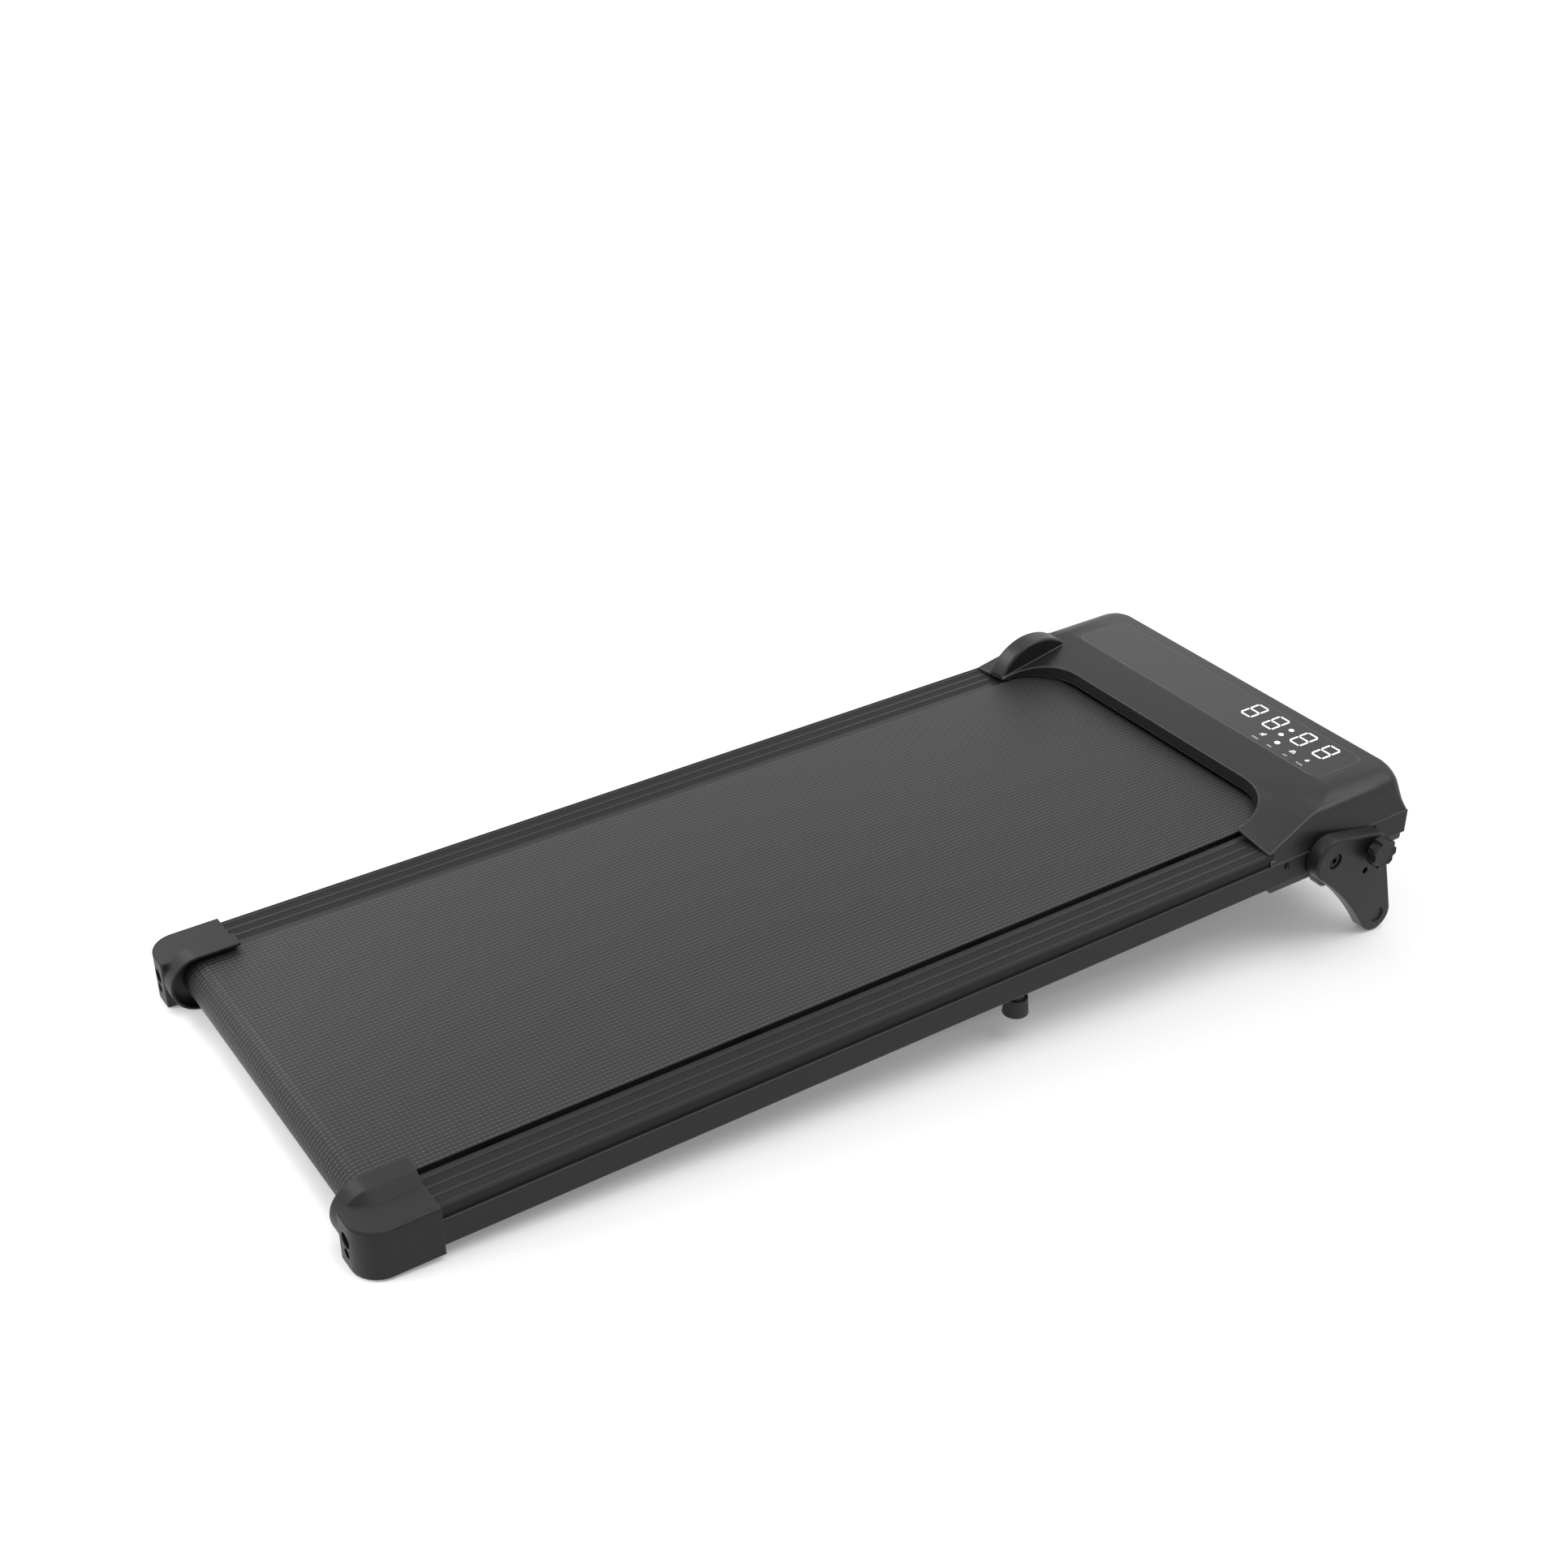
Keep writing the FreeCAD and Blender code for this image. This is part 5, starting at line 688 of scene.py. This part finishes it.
class WALKPAD_OT_display(bpy.types.Operator):
    """Makes the lit digits, icons and legends, and the painted highlight line round the window"""
    bl_idname = "walkpad.display"
    bl_label = "Display"

    def execute(self, context):
        display = context.scene.walkpad_display
        material = lit_material("lit_digits", display.lit, DIGIT_GLOW)
        dim = lit_material("lit_legends", display.legend, LEGEND_GLOW)
        low, high = pad_box("display_panel")
        digits = np.concatenate([digit_bars(left, DIGIT_BOTTOM, display.digit_width, display.digit_height,
                                            display.stroke) for left in DIGIT_LEFTS])
        colon = discs(COLON_PLACES, COLON_RADIUS)
        self.plates("display_digits", [digits, colon], high[2], display, material)
        speed, time, distance, energy = [(x, ICON_ROW) for _, x in LEGENDS]
        walker = np.array(WALKER) * MM + np.tile(speed, 2)
        road = np.array(ROAD) * MM + np.tile(distance, 2)
        strokes = np.concatenate([walker, road])
        head = discs([np.add(speed, HEAD_PLACE)], HEAD_RADIUS)
        icons = [bars(strokes[:, :2], strokes[:, 2:], ICON_STROKE), head, discs([time], CLOCK_RADIUS),
                 flame(energy, FLAME_SIZE)]
        self.plates("display_icons", icons, high[2], display, material)
        self.legends(high[2], display, dim)
        ring = window_ring(high[0], low[1], high[1], display.window_corner, display.window_highlight_line)
        # The line round the window is painted lighter, a painted highlight on the thin step where the acrylic
        # meets the hood.
        line = grained("acrylic_edge_painted_highlight", linear("#545456"), grain=4.0 * MM, relief=0.002 * MM, roughness=0.3)
        self.plates("window_highlight_line", [ring.reshape(-1, 4, 2)], high[2], display, line)
        return {"FINISHED"}

    def plates(self, name, groups, top, display, material):
        """Thin raised plates from groups of flat outlines with equal corner counts."""
        flat = np.concatenate([group.reshape(-1, 2) for group in groups])
        sizes = np.concatenate([np.full(len(group), group.shape[1]) for group in groups])
        ends = np.cumsum(sizes)
        faces = [range(end - size, end) for end, size in zip(ends, sizes)]
        self.raised(name, flat, faces, top, display, material)

    def raised(self, name, flat, faces, top, display, material):
        """A flat mesh on the window, given its thickness upwards."""
        points = np.column_stack([flat, np.full(len(flat), top)])
        plate(name, points, faces, "gloss_panel", material, display.mark_height)

    def legends(self, top, display, material):
        """Small capitals under the icons: each word is a text curve made a mesh and centred on its icon."""
        flat, faces, count = [], [], 0
        for text, x in LEGENDS:
            curve = bpy.data.curves.new("legend_" + text.lower(), "FONT")
            curve.body = text
            curve.size = LEGEND_HEIGHT / CAPITAL_SHARE
            curve.resolution_u = LETTER_STEPS
            holder = linked(bpy.data.objects.new(curve.name, curve))
            shaped = holder.evaluated_get(bpy.context.evaluated_depsgraph_get())
            mesh = bpy.data.meshes.new_from_object(shaped)
            word = places_of(mesh)[:, :2]
            middle = (word.min(0) + word.max(0)) / 2
            flat.append(word - middle + (x, LEGEND_ROW))
            starts = np.empty(len(mesh.polygons), int)
            mesh.polygons.foreach_get("loop_start", starts)
            faces += np.split(corners_of(mesh) + count, starts[1:])
            count += len(word)
            bpy.data.objects.remove(holder)
            bpy.data.curves.remove(curve)
            bpy.data.meshes.remove(mesh)
        self.raised("display_legends", np.concatenate(flat), faces, top, display, material)


def shown(tree):
    """One for rays that show a picture, straight from the camera, in a mirror or through glass, and nought
    for light."""
    path = add(tree, "LightPath")
    mirrored = add(tree, "Math", {0: path.outputs["Is Camera Ray"], 1: path.outputs["Is Glossy Ray"]},
                   operation="MAXIMUM")
    seen = add(tree, "Math", {0: mirrored.outputs["Value"], 1: path.outputs["Is Transmission Ray"]},
               operation="MAXIMUM")
    return seen.outputs["Value"]


WHITE = (1.0, 1.0, 1.0, 1.0)
# Where the camera stands on the pad's own axes, from the front roller's axis, and its sensor in millimetres.
CAMERA_PLACE = np.array([1.4855, -1.4724, 1.2264])
SENSOR_WIDTH = 36.0
# Half the floor's side, how far it lies under the feet, and how much it glows where it shows.
FLOOR_HALF = 20.0
FLOOR_DROP = 0.2 * MM
FLOOR_GLOW = 0.15
# The overhead lamp's place, from which it shines towards zero, and its spread.
OVERHEAD_PLACE = np.array([0.6, 0.9, 3.0])
OVERHEAD_SPREAD = math.radians(50.0)
# Each soft lamp's place, the point it shines at, its width and its height, in metres.
REAR_CARD = ((-2.1, -1.05, 1.95), (0.0, -0.05, 0.08), 1.8, 0.6)
LOW_CARD = ((-0.7, -2.4, 0.6), (0.0, -0.55, 0.06), 1.6, 0.5)
FRONT_CARD = ((-1.4, 1.6, 1.2), (0.0, 0.5, 0.14), 0.9, 0.7)


class WALKPAD_OT_stage(bpy.types.Operator):
    """Makes the floor, the lamps, the white surround and the camera"""
    bl_idname = "walkpad.stage"
    bl_label = "Stage"

    def execute(self, context):
        stage = context.scene.walkpad_stage
        scene = context.scene
        scene.view_settings.view_transform = "Standard"
        self.surround(scene, stage)
        rear = self.card("rear_lamp", *REAR_CARD, stage.rear)
        low = self.card("low_lamp", *LOW_CARD, stage.low)
        # Seen from the front, the low lamp would glare on the belt and the hood, so it isn't mirrored.
        low.visible_glossy = False
        front = self.card("front_lamp", *FRONT_CARD, stage.front)
        self.floor(stage)
        self.lamp(stage)
        self.camera(scene, stage)
        return {"FINISHED"}

    def surround(self, scene, stage):
        """Even light from all round, which shows as plain white."""
        world = bpy.data.worlds.new("white_surround")
        world.use_nodes = True
        tree = world.node_tree
        strength = add(tree, "MapRange", {"Value": shown(tree), "To Min": stage.fill, "To Max": 1.0})
        back = tree.nodes["Background"]
        back.inputs["Color"].default_value = WHITE
        tree.links.new(strength.outputs["Result"], back.inputs["Strength"])
        scene.world = world

    def floor(self, stage):
        """A wide matt floor just under the feet."""
        ends = (-FLOOR_HALF, FLOOR_HALF)
        mesh = bpy.data.meshes.new("floor")
        mesh.from_pydata([(x, y, -FLOOR_DROP) for y in ends for x in ends], [], [(0, 1, 3, 2)])
        material, shader = coated("matt_floor_paint", stage.floor, roughness=1.0, specular=0.0)
        tree = material.node_tree
        glow = add(tree, "Math", {0: shown(tree), 1: FLOOR_GLOW}, operation="MULTIPLY")
        shader.inputs["Emission Color"].default_value = WHITE
        tree.links.new(glow.outputs["Value"], shader.inputs["Emission Strength"])
        # Mirrored, the floor is plain white as the surround is, without the pad's own shadow.
        path = add(tree, "LightPath")
        white = add(tree, "Emission", {"Strength": 1.0})
        chosen = add(tree, "MixShader", {0: path.outputs["Is Glossy Ray"], 1: shader.outputs["BSDF"],
                                         2: white.outputs["Emission"]})
        tree.links.new(chosen.outputs["Shader"], tree.nodes["Material Output"].inputs["Surface"])
        mesh.materials.append(material)
        return linked(bpy.data.objects.new("floor", mesh))

    def aim(self, made, place, towards):
        """Stands an object at a place and turns its own view line towards a direction, upright."""
        direction = np.asarray(towards, float) / np.linalg.norm(towards)
        right = np.cross(direction, PAD_AXES[2])
        right = right / np.linalg.norm(right)
        turn = np.stack([right, np.cross(right, direction), -direction], axis=-1)
        made.matrix_world = Matrix.Translation(place) @ Matrix(turn.tolist()).to_4x4()

    def lamp(self, stage):
        """A broad soft lamp overhead, a little towards the hood and the near side."""
        lamp = bpy.data.lights.new("overhead_lamp", "SUN")
        lamp.energy = stage.key
        lamp.angle = OVERHEAD_SPREAD
        made = linked(bpy.data.objects.new("overhead_lamp", lamp))
        self.aim(made, OVERHEAD_PLACE, -OVERHEAD_PLACE)
        return made

    def card(self, name, place, target, width, height, power):
        """A soft oblong lamp that stands at a place and shines at a target."""
        lamp = bpy.data.lights.new(name, "AREA")
        lamp.shape = "RECTANGLE"
        lamp.size = width
        lamp.size_y = height
        lamp.energy = power
        made = linked(bpy.data.objects.new(name, lamp))
        self.aim(made, np.array(place), np.subtract(target, place))
        return made

    def camera(self, scene, stage):
        """The camera at the photograph's place."""
        view = bpy.data.cameras.new("camera")
        view.lens = stage.lens
        view.sensor_width = SENSOR_WIDTH
        view.dof.use_dof = False
        made = linked(bpy.data.objects.new("camera", view))
        level = np.array([-math.sin(stage.turn), math.cos(stage.turn), 0.0]) * math.cos(stage.dip)
        direction = (level - np.array([0.0, 0.0, math.sin(stage.dip)])) @ PAD_AXES
        self.aim(made, on_pad(CAMERA_PLACE), direction)
        scene.camera = made
        return made


OPERATORS = (WALKPAD_OT_finishes, WALKPAD_OT_skins, WALKPAD_OT_belt, WALKPAD_OT_screws,
             WALKPAD_OT_display, WALKPAD_OT_stage)
SETTINGS = {"walkpad_belt": BeltSettings, "walkpad_display": DisplaySettings,
            "walkpad_finish": FinishSettings, "walkpad_stage": StageSettings}


class WALKPAD_PT_panel(bpy.types.Panel):
    """Lists the walking pad's pieces and settings"""
    bl_label = "Walking pad"
    bl_idname = "WALKPAD_PT_panel"
    bl_space_type = "VIEW_3D"
    bl_region_type = "UI"
    bl_category = "Walking pad"

    def draw(self, context):
        for operator in OPERATORS:
            self.layout.operator(operator.bl_idname)
        for name, group in SETTINGS.items():
            box = self.layout.box()
            for key in group.__annotations__:
                box.prop(getattr(context.scene, name), key)


def register():
    for name, group in SETTINGS.items():
        bpy.utils.register_class(group)
        setattr(bpy.types.Scene, name, PointerProperty(type=group))
    for cls in (*OPERATORS, WALKPAD_PT_panel):
        bpy.utils.register_class(cls)


def unregister():
    for cls in (WALKPAD_PT_panel, *reversed(OPERATORS)):
        bpy.utils.unregister_class(cls)
    for name, group in reversed(SETTINGS.items()):
        delattr(bpy.types.Scene, name)
        bpy.utils.unregister_class(group)


def main():
    register()
    bpy.ops.walkpad.finishes()
    bpy.ops.walkpad.skins()
    bpy.ops.walkpad.belt()
    bpy.ops.walkpad.screws()
    bpy.ops.walkpad.display()
    bpy.ops.walkpad.stage()


if __name__ == "__main__":
    main()
